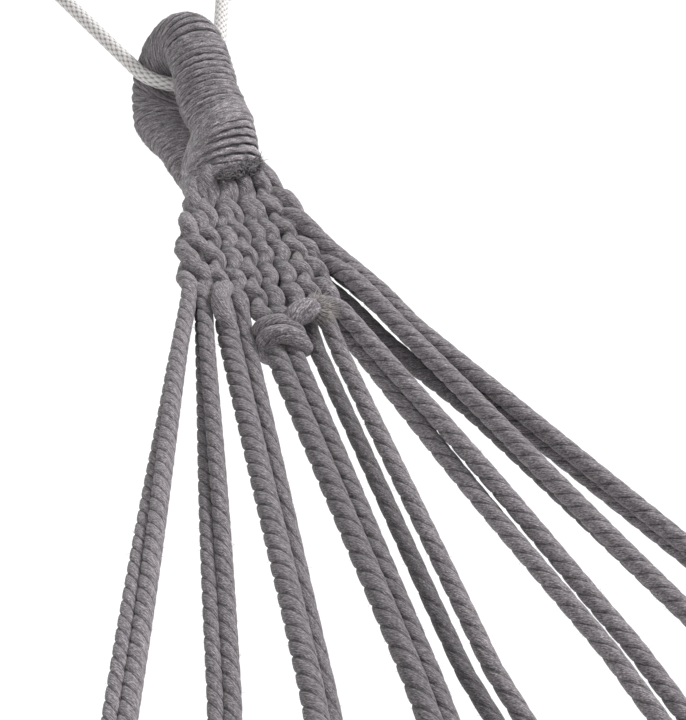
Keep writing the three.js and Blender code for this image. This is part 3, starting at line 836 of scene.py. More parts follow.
def row_height(distance):
    first, last = ROW_STATIONS
    return lerp(ROW_AT_NECK, ROW_AT_EXIT, np.clip((distance - first) / (last - first), 0, 1))


def rows_until(distance):
    """How many rows of the weave lie between the neck and a distance from the apex."""
    grid = np.arange(0, HEM_DISTANCE, ROW_GRID)
    counts = np.concatenate(([0], np.cumsum(ROW_GRID / row_height(grid[1:]))))
    return np.interp(distance, grid, counts)


def pair_offset(pair):
    return pair - (PAIR_COUNT - 1) / 2


def eyelet_place(pair):
    """The middle of a pair's eyelet, and the way to it from the apex."""
    across = pair_offset(pair) * HEM_PITCH
    run = unit(np.array([HEM_DISTANCE, across, 0.0]))
    return np.array([hem_edge, across, 0.0]) + run * EYELET_INSET, run


def pair_turn(pair, distance):
    """The angle at which a pair's upper cord stands, from above the clew towards +Y."""
    start = FIRST_CROSSING + CROSSING_STEP * pair_offset(pair)
    rate = PAIR_TURNS[pair]
    rows = round(rate * float(rows_until(PAIR_EXITS[pair]) - rows_until(start)))
    finish = rows_until(start) + rows / rate
    return math.pi * np.clip(rate * (rows_until(distance) - finish), -rows, 0)


def pair_state(pair, distance):
    """Shares that say where a pair is: open from the neck, and turned below the weave."""
    exit_at = PAIR_EXITS[pair]
    half = HEM_DISTANCE / 2
    out = rising(distance, exit_at, half - exit_at)
    back = smooth((HEM_DISTANCE - distance) / half)
    turned = np.where(distance < half, out, back)
    opened = rising(distance, PART_START, PART_RUN)
    return opened, turned


def pair_middle(pair, distance):
    """How far across the clew the middle of a pair lies."""
    places = PAIR_PLACES[pair] + [pair_offset(pair) * HEM_PITCH]
    return np.interp(distance, PLACE_STATIONS + [HEM_DISTANCE], places)


def lane_state(pair, distance, opened):
    """Turn, spread, rise and slant of a pair whose cords lie side by side in the weave."""
    exit_at = PAIR_EXITS[pair]
    wave = 2 * pair_turn(pair, distance)
    apart = rising(distance, LANE_START, LANE_RUN)
    inside = apart * (1 - rising(distance, exit_at, LANE_FADE))
    half = LANE_HALF
    if pair == OPEN_PAIR:
        half = lerp(LANE_HALF, OPEN_HALF, rising(distance, exit_at, OPEN_RUN))
    neck_rise = LANE_NECK_RISE * (1 - opened)
    rise = inside * (LANE_LIFT + neck_rise + LANE_BUMP * np.cos(wave))
    slant = inside * LANE_SLANT * np.sin(wave)
    return SIDE_BY_SIDE[pair] * math.pi / 2 * apart, half, rise, slant


def pair_leg(pair, side, distance):
    """Points of one cord of a pair: side 1 is the upper one at the hem."""
    opened, turned = pair_state(pair, distance)
    low = lerp(NECK_STACKS[pair], WEAVE_HEIGHT, opened)
    height = np.where(distance < HEM_DISTANCE / 2, low, HEM_LIFT)
    leaving = rising(distance, PAIR_EXITS[pair], LIFT_FADE)
    lift = PAIR_LIFTS[pair] * (rising(distance, LIFT_START, LIFT_RUN) * (1 - leaving))
    turn = pair_turn(pair, distance)
    aside = WEAVE_ASIDES[pair] * opened
    slant = 0
    if pair in SIDE_BY_SIDE:
        turn, aside, rise, slant = lane_state(pair, distance, opened)
        lift = lift + rise
    turn = lerp(turn, math.radians(PAIR_ROLLS[pair]), turned)
    height = lerp(height, PAIR_SPREADS[pair], turned)
    aside = lerp(aside, PAIR_SPREADS[pair], turned)
    across = pair_middle(pair, distance) + side * aside * np.sin(turn) + slant
    above = side * height * np.cos(turn) + lift
    if pair == STRAY_PAIR and side < 0:
        stray = rising(distance, STRAY_START, STRAY_RUN)
        stray = stray * (1 - rising(distance, STRAY_BACK, STRAY_FADE))
        across = across + STRAY_ASIDE * stray
        above = above + STRAY_DROP * stray
    return np.stack((apex + distance, across, above), axis=-1)


def clew_route(pair):
    """One cord from the neck through its eyelet and back: points, distances and leg, 1 to -1."""
    distance = np.arange(NECK_INSIDE, HEM_DISTANCE - STRAIGHT_RUN, CORD_STEP)
    upper = eased(pair_leg(pair, 1, distance), ROUTE_SOFTNESS)
    lower = eased(pair_leg(pair, -1, distance), ROUTE_SOFTNESS)
    eyelet, run = eyelet_place(pair)
    centre = eyelet - run * HEM_LIFT
    angles = np.linspace(0, math.pi, EYELET_BEND_POINTS)[:, None]
    bend = centre + HEM_LIFT * np.sin(angles) * run + HEM_LIFT * np.cos(angles) * UP
    route = np.vstack((upper, bend, lower[::-1]))
    far = np.full(len(bend), float(HEM_DISTANCE))
    round_eyelet = np.linspace(1, -1, len(bend))
    legs = np.concatenate((np.ones(len(upper)), round_eyelet, -np.ones(len(lower))))
    distances = np.concatenate((distance, far, distance[::-1]))
    table = resampled(np.column_stack((route, distances, legs)), CORD_STEP)
    return table[:, :3], table[:, 3], table[:, 4]


def cord_sizes(pair, distance, leg):
    """Radius, lay, groove depth, pinch of the weave and painted shade along a clew cord."""
    upper_share = (leg + 1) / 2
    radii, lays = CORD_RADII[pair], CORD_LAYS[pair]
    free_radius = lerp(radii[1], radii[0], upper_share)
    free_lay = lerp(lays[1], lays[0], upper_share)
    woven = 1 - smooth((distance - PAIR_EXITS[pair] + EXIT_LEAD) / EXIT_RUN)
    bump = np.cos(pair_turn(pair, distance)) ** 2
    woven_radius = lerp(CROSSING_RADIUS, BUMP_RADIUS, bump)
    out_of_neck = rising(distance, NECK_CORD_END, NECK_CORD_RUN)
    woven_radius = lerp(NECK_CORD_RADIUS, woven_radius, out_of_neck)
    radius = lerp(free_radius, woven_radius, woven)
    lay = lerp(free_lay, WEAVE_LAY, woven)
    depth = lerp(1, WEAVE_GROOVE, woven)
    pinch = woven * rising(distance, PINCH_START, PINCH_RUN) * PINCH_SHARES[pair]
    shades = FREE_PAINTED_SHADES[pair]
    shade = lerp(lerp(shades[1], shades[0], upper_share), 1, woven)
    phase = 2 * pair_turn(pair, distance)
    return radius, lay, depth, pinch, phase, shade


def build_clew_cords(end):
    chance = np.random.default_rng(CORD_SEED)
    roots, ways, bends = [], [], []
    for pair in range(PAIR_COUNT):
        route, distance, leg = clew_route(pair)
        radius, lay, *surface = cord_sizes(pair, distance, leg)
        skin = Skin()
        rings = laid_cord(skin, route, radius, lay, end, PATTERN_STEP * pair, *surface)
        cord = skin.built(f"{end}_laid_cord_{pair + 1}")
        finish_piece(cord, cotton_materials[pair],
                     "hammock", [f"{end}_clew_cord_{pair + 1}"])
        found = fuzz_on(rings, 1, chance)
        roots.append(found[0])
        ways.append(found[1])
        bends.append(found[2])
    roots, ways, bends = (np.concatenate(part) for part in (roots, ways, bends))
    lengths = chance.uniform(*FUZZ_LENGTH, len(roots))
    fuzz = fibre_mesh(f"{end}_cord_fuzz", roots, ways, bends, lengths, FUZZ_RADIUS, end)
    finish_piece(fuzz, fibre_material, "hammock")


# Eye, binding and neck

def leg_spread(station):
    """Half the spread between the two legs of the eye at a place along the clew."""
    bound = binding_radius + LEG_CLEARANCE
    closed = rising(station - eye_centre, LEG_CLOSE_START, LEG_CLOSE_RUN)
    closing = lerp(arch_radius, bound, closed)
    joining = lerp(bound, NECK_END_SPREAD, rising(station, neck_start, NECK_LENGTH))
    return np.where(station < neck_start, closing, joining)


def eye_place(at):
    """The eye's middle line at a length along it: middle, outward way, run and bend."""
    if at < leg_run or at > leg_run + arch_run:
        lower = at < leg_run
        station = eye_centre + (leg_run - at if lower else at - leg_run - arch_run)
        side = -1 if lower else 1
        middle = np.array([station, 0, side * float(leg_spread(station))])
        return middle, np.array([0, 0, float(side)]), np.array([float(side), 0, 0]), 0
    angle = (at - leg_run) / arch_radius
    out = np.array([-math.sin(angle), 0, -math.cos(angle)])
    middle = np.array([eye_centre, 0, 0]) + out * arch_radius
    along = np.array([-math.cos(angle), 0, math.sin(angle)])
    return middle, out, along, 1 / arch_radius


def rolled(points):
    """The eye hangs a little turned about the clew's run, and to one side of it."""
    points = np.asarray(points, float)
    fade_run = neck_end - eye_centre - ROLL_FADE_SHORTER
    share = 1 - rising(points[..., 0] - eye_centre, ROLL_FADE_START, fade_run)
    angle = EYE_ROLL * share
    y = points[..., 1] * np.cos(angle) + points[..., 2] * np.sin(angle)
    z = points[..., 2] * np.cos(angle) - points[..., 1] * np.sin(angle)
    return np.stack((points[..., 0], y + EYE_ASIDE * share, z), axis=-1)


def yarn_rings(middles, outs, alongs, half_widths, half_height, twist):
    """Flattened sections of a plied yarn. Outs point away from what it is wound on."""
    angles = 2 * math.pi * np.arange(YARN_SIDES) / YARN_SIDES
    plies = np.cos(YARN_PLIES * (angles[None, :] + twist[:, None]))
    swell = 1 + PLY_SWELL * plies
    out = np.cos(angles)[None, :] * half_height * swell
    along = np.sin(angles)[None, :] * half_widths[:, None] * swell
    rings = middles[:, None, :] + out[..., None] * outs[:, None, :]
    rings = rings + along[..., None] * alongs[:, None, :]
    # Painted shade: the relief falls off towards the yarn's edges, where the turns meet, and
    # between its plies
    outside = rising(np.cos(angles)[None, :], YARN_OUTSIDE, YARN_OUTSIDE_RUN)
    relief = np.clip(outside * (PLY_PAINTED_SHADE[0] + PLY_PAINTED_SHADE[1] * plies), 0, 1)
    return rings, relief


def wound_yarn(skin, places, end, offset, chance, turn_radius, room, yarn_height, lift_at=None,
               wander_share=BINDING_WANDER, lean=0):
    """Adds yarn wound over a line of places, each a middle, outward way, run and bend."""
    steps = len(places)
    rows = np.arange(steps) / YARN_TURN_STEPS
    turn = 2 * math.pi * rows + math.pi
    whole = np.arange(math.ceil(rows[-1]) + 1)
    wander = np.interp(rows, whole, chance.uniform(-1, 1, len(whole)))
    tight = np.interp(rows, whole, chance.uniform(-1, 1, len(whole)))
    slants = np.interp(rows, whole, chance.uniform(-1, 1, len(whole)))
    middles, outs, alongs, widths = [], [], [], []
    for k, (middle, out, along, bend) in enumerate(places):
        radial = out * math.cos(turn[k]) + np.array([0, math.sin(turn[k]), 0])
        lift = lift_at(k, turn[k]) if lift_at else 0
        radius = turn_radius + wander_share * wander[k]
        width = room * (1 + bend * radius * math.cos(turn[k])) + YARN_OVERLAP
        width = min(width, YARN_WIDEST) * (1 + YARN_WIDTH_SPREAD * tight[k])
        tilt = -(WRAP_TILT + lean * slants[k]) * radius * math.sin(turn[k])
        tilt += WRAP_FRONT * radius * math.cos(turn[k])
        middles.append(middle + radial * radius + along * (YARN_SHIFT * tight[k] + tilt) + lift)
        outs.append(radial)
        alongs.append(along)
        widths.append(width)
    middles, outs, alongs, widths = map(np.array, (middles, outs, alongs, widths))
    lengths = arc_lengths(middles)
    twist = 2 * math.pi * lengths / PLY_LAY
    rings, relief = yarn_rings(middles, outs, alongs, widths, yarn_height, twist)
    rings = rolled(rings)
    skin.tube(placed(rings, end), relief, lengths * MM + offset, YARN_GIRTH * MM)
    return rings


def build_binding(end):
    run = 2 * leg_run + arch_run
    room = run / BINDING_TURNS * BINDING_YARN_SHARE
    steps = BINDING_TURNS * YARN_TURN_STEPS
    places = [eye_place(at) for at in np.linspace(-BINDING_OVERRUN, run + BINDING_OVERRUN, steps)]
    chance = np.random.default_rng(BINDING_SEED)
    skin = Skin()
    radius = binding_radius - BINDING_SINK
    rings = wound_yarn(skin, places, end, 0, chance, radius, room, BINDING_YARN_HEIGHT)
    binding = skin.built(f"{end}_yarn_binding")
    finish_piece(binding, yarn_material, "hammock",
                 [f"{end}_eye_binding", f"{end}_eye_core"])
    return rings


def build_neck(end):
    first = neck_start - NECK_LEAD
    last = neck_end + NECK_BEYOND
    steps = round(NECK_TURNS * YARN_TURN_STEPS)
    stations = np.linspace(first, last, steps)
    room = (last - first) / NECK_TURNS * NECK_YARN_SHARE
    places = [(np.array([x, 0, 0]), UP, np.array([1.0, 0, 0]), 0) for x in stations]
    chance = np.random.default_rng(NECK_SEED)
    share = smooth(np.linspace(0, 1, steps))

    def lift_at(k, turn):
        high = float(leg_spread(stations[k])) * math.tanh(NECK_SQUARENESS * math.cos(turn))
        high -= NECK_FLATTER * share[k] * math.cos(turn)
        aside = NECK_WIDER * share[k] * math.sin(turn) + NECK_ASIDE * share[k]
        return np.array([0, aside, high])

    skin = Skin()
    rings = wound_yarn(skin, places, end, NECK_PATTERN, chance, binding_radius - NECK_SINK, room,
                       NECK_YARN_HEIGHT, lift_at, NECK_WANDER, NECK_LEAN)
    whipping = skin.built(f"{end}_yarn_whipping")
    finish_piece(whipping, whipping_material, "hammock", [f"{end}_neck_whipping"])
    return rings


def build_core(end):
    core_end = neck_end + CORE_BEYOND
    lower = [(core_end - k, 0, -float(leg_spread(core_end - k)))
             for k in np.arange(0, core_end - eye_centre, CORE_STEP)]
    arch = []
    for angle in np.linspace(0, math.pi, CORE_ARCH_POINTS):
        station = eye_centre - arch_radius * math.sin(angle)
        arch.append((station, 0, -arch_radius * math.cos(angle)))
    upper = [(x, y, -z) for x, y, z in reversed(lower)]
    route = resampled(lower + arch + upper, CORE_STEP)
    taper = rising(route[:, 0], neck_start, NECK_LENGTH)
    radius = lerp(binding_radius - BINDING_THICKNESS + CORE_OVERLAP, CORE_END_RADIUS, taper)
    closing = np.clip((route[:, 0] - core_end + CORE_ROUNDING) / CORE_ROUNDING, 0, CORE_CLOSED)
    radius = radius * np.sqrt(1 - closing ** 2)
    route[:, 2] -= CORE_SINKS * taper
    run, normal, side = frames_along(route)
    angles = 2 * math.pi * np.arange(CORE_SIDES) / CORE_SIDES
    turned = np.broadcast_to(angles, (len(route), CORE_SIDES))
    rings = rolled(ring_points(route, normal, side, turned, radius[:, None] * np.ones(CORE_SIDES)))
    skin = Skin()
    # Painted shade: a relief of nought gives the whole bundle the binding yarn's groove shade
    relief = np.zeros((len(route), CORE_SIDES))
    skin.tube(placed(rings, end), relief, arc_lengths(route) * MM, CORE_GIRTH * MM)
    core = skin.built(f"{end}_cord_bundle")
    finish_piece(core, yarn_material, "hammock")


def build_eye_fuzz(end, wound):
    chance = np.random.default_rng(EYE_SEED)
    found = [fuzz_on(rings, 1, chance) for rings in wound]
    roots, ways, bends = (np.concatenate(part) for part in zip(*found))
    lengths = chance.uniform(*FUZZ_LENGTH, len(roots)) * EYE_FUZZ_SHARE
    fuzz = fibre_mesh(f"{end}_eye_fuzz", roots, ways, bends, lengths, FUZZ_RADIUS, end)
    finish_piece(fuzz, fibre_material, "hammock")


# Weft, its knot and the frayed ends

def weft_route():
    """Route of the weft, from the neck to the frayed tail, and its radii."""
    points = [WEFT_START]
    station = FIRST_CROSSING - ROW_AT_NECK / 2
    for row in range(WEFT_ROWS):
        height = float(row_height(station)) / 2
        near_neck = 1 - float(rising(station, WEFT_NECK_START, WEFT_NECK_RUN))
        sink = WEFT_SINK - WEFT_NECK_SINK * near_neck
        pairs = [pair for pair in range(WEFT_LAST_PAIR + 1) if PAIR_EXITS[pair] > station]
        edge = WEFT_RIGHT_EDGE
        if row % 2:
            pairs.reverse()
            edge = WEFT_LEFT_EDGE
        for pair in pairs:
            across = float(pair_middle(pair, station))
            wave = (-1) ** (pair + row)
            radius = WEFT_RADIUS_SHARE * height + WEFT_SWELL * wave
            points.append((station, across, sink - WEFT_WAVE * wave, radius))
        if row < WEFT_ROWS - 1:
            outside = float(pair_middle(pairs[-1], station + height / 2)) + edge
            for share, rise in WEFT_TURN:
                points.append((station + height * share, outside, rise, WEFT_TURN_RADIUS))
        station += height
    points += WEFT_LOOSE
    table = curve_through(points, CORD_STEP * WEFT_STEP_SHARE)
    route = table[:, :3].copy()
    route[:, 0] += apex
    return route, table[:, 3]


def build_weft(end):
    route, radii = weft_route()
    lengths = arc_lengths(route)
    loose = smooth((lengths - lengths[-1] + WEFT_KNOT_RUN) / WEFT_KNOT_FADE)
    lays = lerp(WEFT_LAY, WEFT_KNOT_LAY, loose)
    depth = lerp(WEFT_GROOVE, WEFT_KNOT_GROOVE, loose)
    skin = Skin()
    rings = laid_cord(skin, route, radii, lays, end, WEFT_PATTERN, depth, begin=WEFT_BEGIN)
    weft = skin.built(f"{end}_weft_cord")
    finish_piece(weft, cotton_materials[2], "hammock",
                 [f"{end}_weft", f"{end}_weft_knot"])
    build_fray(end, route[-1])
    return rings


def build_fray(end, tip):
    """The weft's end: loose yarns that fan out from the last of the cord."""
    chance = np.random.default_rng(FRAY_SEED)
    spread = chance.uniform(*FRAY_OPENING, FRAY_FIBRES)
    rise = chance.normal(*FRAY_RISE, FRAY_FIBRES)
    ways = np.column_stack((np.sin(spread), np.cos(spread), rise))
    roots = tip + np.column_stack((
        FRAY_ROOT_FAN * np.sin(spread),
        FRAY_ROOT_DEPTH * np.cos(spread) - FRAY_ROOT_BACK,
        chance.uniform(*FRAY_ROOT_HEIGHTS, FRAY_FIBRES),
    ))
    bends = unit(chance.normal(0, 1, roots.shape)) * FRAY_BEND + unit(ways) * FRAY_REACH
    lengths = chance.uniform(*FRAY_LENGTH, FRAY_FIBRES)
    fray = fibre_mesh(f"{end}_weft_fray", roots, ways, bends, lengths, FRAY_RADIUS, end)
    finish_piece(fray, fray_material, "hammock", [f"{end}_weft_tail"])


def build_tuft(end):
    """The cut end of the whipping: a band of short dark fibres on the neck's lower rim."""
    chance = np.random.default_rng(TUFT_SEED)
    across = chance.uniform(*TUFT_REACH, TUFT_FIBRES)
    share = (across - TUFT_REACH[0]) / (TUFT_REACH[1] - TUFT_REACH[0])
    roots = np.column_stack((
        apex + lerp(*TUFT_STATIONS, share) + chance.normal(0, TUFT_STATION_SPREAD, TUFT_FIBRES),
        across,
        lerp(*TUFT_HEIGHTS, share) + chance.uniform(*TUFT_HEIGHT_SPREAD, TUFT_FIBRES),
    ))
    ways = np.column_stack((
        chance.normal(*TUFT_FORWARD, TUFT_FIBRES),
        chance.normal(*TUFT_ACROSS, TUFT_FIBRES),
        chance.uniform(*TUFT_UPWARD, TUFT_FIBRES),
    ))
    bends = unit(chance.normal(0, 1, roots.shape)) * TUFT_BEND
    lengths = chance.uniform(*TUFT_LENGTH, TUFT_FIBRES)
    tones = chance.uniform(*TUFT_TONES, TUFT_FIBRES)
    tuft = fibre_mesh(f"{end}_neck_fray", roots, ways, bends, lengths, TUFT_RADIUS, end, tones)
    finish_piece(tuft, tuft_material, "hammock", [f"{end}_neck_tuft"])


# Sling and its knot

def braid(along, around):
    """Height of a braid's surface, from 0 in a gap to 1 on a strand, at a place on it."""
    a = BRAID_STRANDS * around + along * BRAID_STRANDS / BRAID_LAY
    b = BRAID_STRANDS * around - along * BRAID_STRANDS / BRAID_LAY
    over = (np.floor(a) + np.floor(b)) % 2 == 0
    across = np.where(over, a, b) % 1 - 0.5
    length = np.where(over, b, a) % 1 - 0.5
    swell = BRAID_SWELL[0] + BRAID_SWELL[1] * np.cos(math.pi * length)
    return np.sqrt(np.maximum(np.cos(math.pi * across), 0)) * swell


def braided_rope(skin, route, radius, end, offset):
    """Adds a stretch of braided rope to a skin."""
    lengths = arc_lengths(route)
    run, normal, side = frames_along(route)
    around = np.arange(SLING_SIDES) / SLING_SIDES
    height = braid(lengths[:, None], around[None, :])
    radii = radius - BRAID_DEPTH * (1 - height)
    turned = np.broadcast_to(2 * math.pi * around, height.shape)
    rings = ring_points(route, normal, side, turned, radii)
    skin.tube(placed(rings, end), height, lengths * MM + offset, 2 * math.pi * radius * MM)


def sling_route():
    """From one end of the knot round the post, through the eye and back to the knot."""
    mirrored = [(x, -y) for x, y in SLING_HALF]
    reach = KNOT_LENGTH / 2 + KNOT_GAP
    knot_x, knot_y = KNOT_PLACE
    run_x, run_y = KNOT_RUN
    out_end = (knot_x + run_x * reach, knot_y + run_y * reach)
    back_end = (knot_x - run_x * reach, knot_y - run_y * reach)
    beyond = [point for point in SLING_HALF if point[0] < out_end[0]]
    before = [point for point in SLING_HALF if point[0] > back_end[0]]
    flat = [out_end, *beyond, *mirrored[:-1][::-1], *before[1:], back_end]
    points = [(SLING_REACH + x, y, 0) for x, y in flat]
    return curve_through(points, SLING_STEP)


def knot_frame():
    """The middle of the sling's knot, the way that it runs and the way across it."""
    middle = np.array([SLING_REACH + KNOT_PLACE[0], KNOT_PLACE[1], 0.0])
    run = np.array([KNOT_RUN[0], KNOT_RUN[1], 0.0])
    side = np.array([-KNOT_RUN[1], KNOT_RUN[0], 0.0])
    return middle, run, side


def knot_route():
    """A barrel knot: the rope wraps round itself, and its short end stands out."""
    middle, run, side = knot_frame()
    reach = KNOT_LENGTH / 2
    first, second = (middle - run * reach * share for share in KNOT_ENTRIES)
    points = [first, second + side * KNOT_ENTRY_ASIDE]
    for k in range(KNOT_WRAP_POINTS + 1):
        share = k / KNOT_WRAP_POINTS
        angle = 2 * math.pi * KNOT_WRAPS * share
        radius = KNOT_WRAP_RADIUS * min(1, KNOT_WRAP_START + KNOT_WRAP_GROWTH * share)
        along = lerp(-KNOT_WRAP_REACH, KNOT_WRAP_REACH, share) * reach
        points.append(middle + run * along
                      + radius * (math.cos(angle) * side + math.sin(angle) * UP))
    last = points[-1]
    points += [last + run * onward - UP * drop for onward, drop in KNOT_TAIL]
    return curve_through(points, SLING_STEP * KNOT_STEP_SHARE)


def build_sling(end):
    route = sling_route()
    skin = Skin()
    braided_rope(skin, route, SLING_RADIUS, end, 0)
    rope = skin.built(f"{end}_braided_rope")
    finish_piece(rope, rope_material, None, [f"{end}_sling"])
    still, turning = (placed((SLING_REACH + reach, 0, 0), end).tolist() for reach in BIGHT_TURNS)
    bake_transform(rope)
    skin = Skin()
    middle, run, _ = knot_frame()
    reach = KNOT_LENGTH / 2
    through = resampled([middle - run * reach, middle + run * reach], SLING_STEP)
    for part, pattern in zip((knot_route(), through), KNOT_PATTERNS):
        braided_rope(skin, part, KNOT_ROPE_RADIUS, end, pattern)
    knot = skin.built(f"{end}_rope_knot")
    finish_piece(knot, rope_material, "slings", [f"{end}_sling_knot"])
    world = placed(route, end)
    length = float(arc_lengths(world)[-1])


# Bed cloth

def cloth_columns():
    """Places across the cloth as shares of its cut and of its hem, and how far each folds."""
    bay = (CLOTH_WIDTH - 2 * HEM_MARGIN) / (PAIR_COUNT - 1)
    cut, hem, fold = [0.0], [0.0], [0.0]
    for pair in range(PAIR_COUNT):
        cut_middle = HEM_MARGIN + pair * bay
        hem_middle = HEM_MARGIN + pair * HEM_PITCH
        for k in range(FLAT_STEPS + 1):
            shift = EYELET_FLAT * (k / FLAT_STEPS - 0.5)
            cut.append(cut_middle + shift)
            hem.append(hem_middle + shift)
            fold.append(0.0)
        if pair == PAIR_COUNT - 1:
            break
        for k in range(1, FOLD_STEPS):
            share = k / FOLD_STEPS
            cut.append(cut_middle + EYELET_FLAT / 2 + share * (bay - EYELET_FLAT))
            hem.append(hem_middle + EYELET_FLAT / 2 + share * (HEM_PITCH - EYELET_FLAT))
            fold.append(math.sin(math.pi * share))
    cut.append(CLOTH_WIDTH)
    hem.append(hem_width)
    fold.append(0.0)
    return (np.array(cut) / CLOTH_WIDTH - 0.5, np.array(hem) / hem_width - 0.5,
            np.array(fold), np.array(cut))


def cloth_line(columns, end_share, width, depth, fold_depth):
    """One line across the bed, as places across and their rise over the keel."""
    cut_share, hem_share, fold, _ = columns
    openness = 1 - end_share ** 2
    share = lerp(hem_share, cut_share, smooth(openness))
    return width * share, depth * (2 * share) ** 2 - fold_depth * fold


def solved_for_width(limit, line_at):
    """The value at which a line across the bed is as long as the cloth is wide."""
    low, high = 0.0, float(limit)
    for _ in range(WIDTH_ROUNDS):
        middle = (low + high) / 2
        across, rise = line_at(middle)
        length = np.sum(np.hypot(np.diff(across), np.diff(rise)))
        low, high = (middle, high) if length < CLOTH_WIDTH else (low, middle)
    return low


def bed_grid():
    """The middle of the cloth as rows of points in the hammock's own frame."""
    columns = cloth_columns()
    cut = columns[3]
    mid_depth = solved_for_width(
        bed_width, lambda depth: cloth_line(columns, 0, bed_width, depth, 0))
    rows = []
    for share in np.sin(np.linspace(-math.pi / 2, math.pi / 2, CLOTH_ROWS + 1)):
        openness = 1 - share * share
        width = lerp(hem_width, bed_width, openness)
        depth = mid_depth * openness * openness
        fold_depth = solved_for_width(
            bed_width, lambda fold: cloth_line(columns, share, width, depth, fold))
        across, rise = cloth_line(columns, share, width, depth, fold_depth)
        along = hem_x + BED_LENGTH / 2 * (1 + share)
        keel = hem_z - bed_sag * openness
        ripple = np.sin(cut * WRINKLE_WAVES[0] + WRINKLE_DRIFT * share)
        ripple = ripple * np.sin(cut * WRINKLE_WAVES[1] + WRINKLE_PHASE)
        growth = WRINKLE_GROWTH[0] + WRINKLE_GROWTH[1] * abs(share)
        rise = rise + WRINKLE_HEIGHT * ripple * openness * growth
        rows.append(np.column_stack((np.full(len(across), along), across, keel + rise)))
    return np.array(rows), cut


def cloth_places(grid, cut, down, across):
    """Points of the cloth and its upward normals, at lengths down it and across its cut."""
    lengths = arc_lengths(grid[:, grid.shape[1] // 2])
    rows = np.interp(down, lengths, np.arange(len(lengths)))
    columns = np.interp(across, cut, np.arange(len(cut)))

    def at(row, column):
        row = np.clip(row, 0, len(lengths) - GRID_EDGE)
        column = np.clip(column, 0, len(cut) - GRID_EDGE)
        i, j = row.astype(int), column.astype(int)
        p, q = (row - i)[:, None], (column - j)[:, None]
        near = lerp(grid[i, j], grid[i, j + 1], q)
        far = lerp(grid[i + 1, j], grid[i + 1, j + 1], q)
        return lerp(near, far, p)

    middle = at(rows, columns)
    length_way = unit(at(rows + GRID_NUDGE, columns) - at(rows - GRID_NUDGE, columns))
    width_way = unit(at(rows, columns + GRID_NUDGE) - at(rows, columns - GRID_NUDGE))
    return middle, length_way, width_way, unit(np.cross(length_way, width_way))


def stitch_mesh(name, middles, ways, normals):
    """Short rounded stitches in one mesh: each is a bead drawn out along the seam."""
    sides = np.cross(ways, normals)
    rings = []
    for along, size in STITCH_PROFILE:
        for k in range(STITCH_SIDES if size else 1):
            angle = 2 * math.pi * k / STITCH_SIDES
            out = size * STITCH_RADIUS * (math.cos(angle) * sides + math.sin(angle) * normals)
            rings.append(middles + ways * along * STITCH_LENGTH / 2 + out)
    points = np.stack(rings, axis=1)
    near = 1
    far = near + STITCH_SIDES
    tip = far + STITCH_SIDES
    pattern = []
    for k in range(STITCH_SIDES):
        after = (k + 1) % STITCH_SIDES
        pattern.append((0, near + after, near + k))
        pattern.append((near + k, near + after, far + after, far + k))
        pattern.append((tip, far + k, far + after))
    size = tip + 1
    faces = [tuple(size * n + v for v in face) for n in range(len(points)) for face in pattern]
    return mesh_object(name, points.reshape(-1, 3) * MM, faces)


def build_stitches(grid, cut):
    """Two seams along each end hem and one along each side hem, on both faces."""
    total = float(arc_lengths(grid[:, grid.shape[1] // 2])[-1])
    down, across, lengthwise = [], [], []
    seams = [HEM_BAND - inset for inset in SEAM_INSETS]
    seams += [total - HEM_BAND + inset for inset in SEAM_INSETS]
    for seam in seams:
        places = np.arange(SEAM_END, CLOTH_WIDTH - SEAM_END, STITCH_PITCH)
        down.append(np.full(len(places), float(seam)))
        across.append(places)
        lengthwise.append(np.zeros(len(places)))
    for seam in (SIDE_HEM, CLOTH_WIDTH - SIDE_HEM):
        places = np.arange(SEAM_END, total - SEAM_END, STITCH_PITCH)
        down.append(places)
        across.append(np.full(len(places), float(seam)))
        lengthwise.append(np.ones(len(places)))
    down, across, lengthwise = (np.concatenate(part) for part in (down, across, lengthwise))
    middle, length_way, width_way, normal = cloth_places(grid, cut, down, across)
    ways = np.where(lengthwise[:, None] > 0, length_way, width_way)
    reach = CLOTH_HEM_THICKNESS / 2 + STITCH_RADIUS * STITCH_STAND
    middles = np.concatenate((middle + normal * reach, middle - normal * reach))
    ways, normal = (np.tile(part, (2, 1)) for part in (ways, normal))
    stitches = stitch_mesh("bed_stitches", middles, ways, normal)
    finish_piece(stitches, thread_material, "hammock")
    return stitches


def build_eyelets(end):
    """Hand-stitched eyelets: a ring of thread round each cord, with a ridge for each stitch."""
    skin = Skin()
    steps = EYELET_STITCHES * EYELET_STITCH_STEPS
    angles = np.linspace(0, 2 * math.pi, steps + 1)
    out = np.stack((np.cos(angles), np.sin(angles), np.zeros(steps + 1)), axis=-1)
    up = np.tile(UP, (steps + 1, 1))
    ridge = 0.5 + 0.5 * np.cos(EYELET_STITCHES * angles)
    thread = EYELET_THREAD * (EYELET_RIDGE[0] + EYELET_RIDGE[1] * ridge)
    size = (steps + 1, EYELET_SIDES)
    around = np.broadcast_to(2 * math.pi * np.arange(EYELET_SIDES) / EYELET_SIDES, size)
    # Painted shade between the stitches: the thread's relief falls between the ridges
    relief = np.broadcast_to(ridge[:, None], size)
    for pair in range(PAIR_COUNT):
        route = eyelet_place(pair)[0] + EYELET_RADIUS * out
        rings = ring_points(route, up, -out, around, np.broadcast_to(thread[:, None], size))
        skin.tube(placed(rings, end), relief, angles * EYELET_RADIUS * MM, YARN_GIRTH * MM)
    eyelets = skin.built(f"{end}_stitched_eyelets")
    finish_piece(eyelets, thread_material, "hammock")
    return eyelets


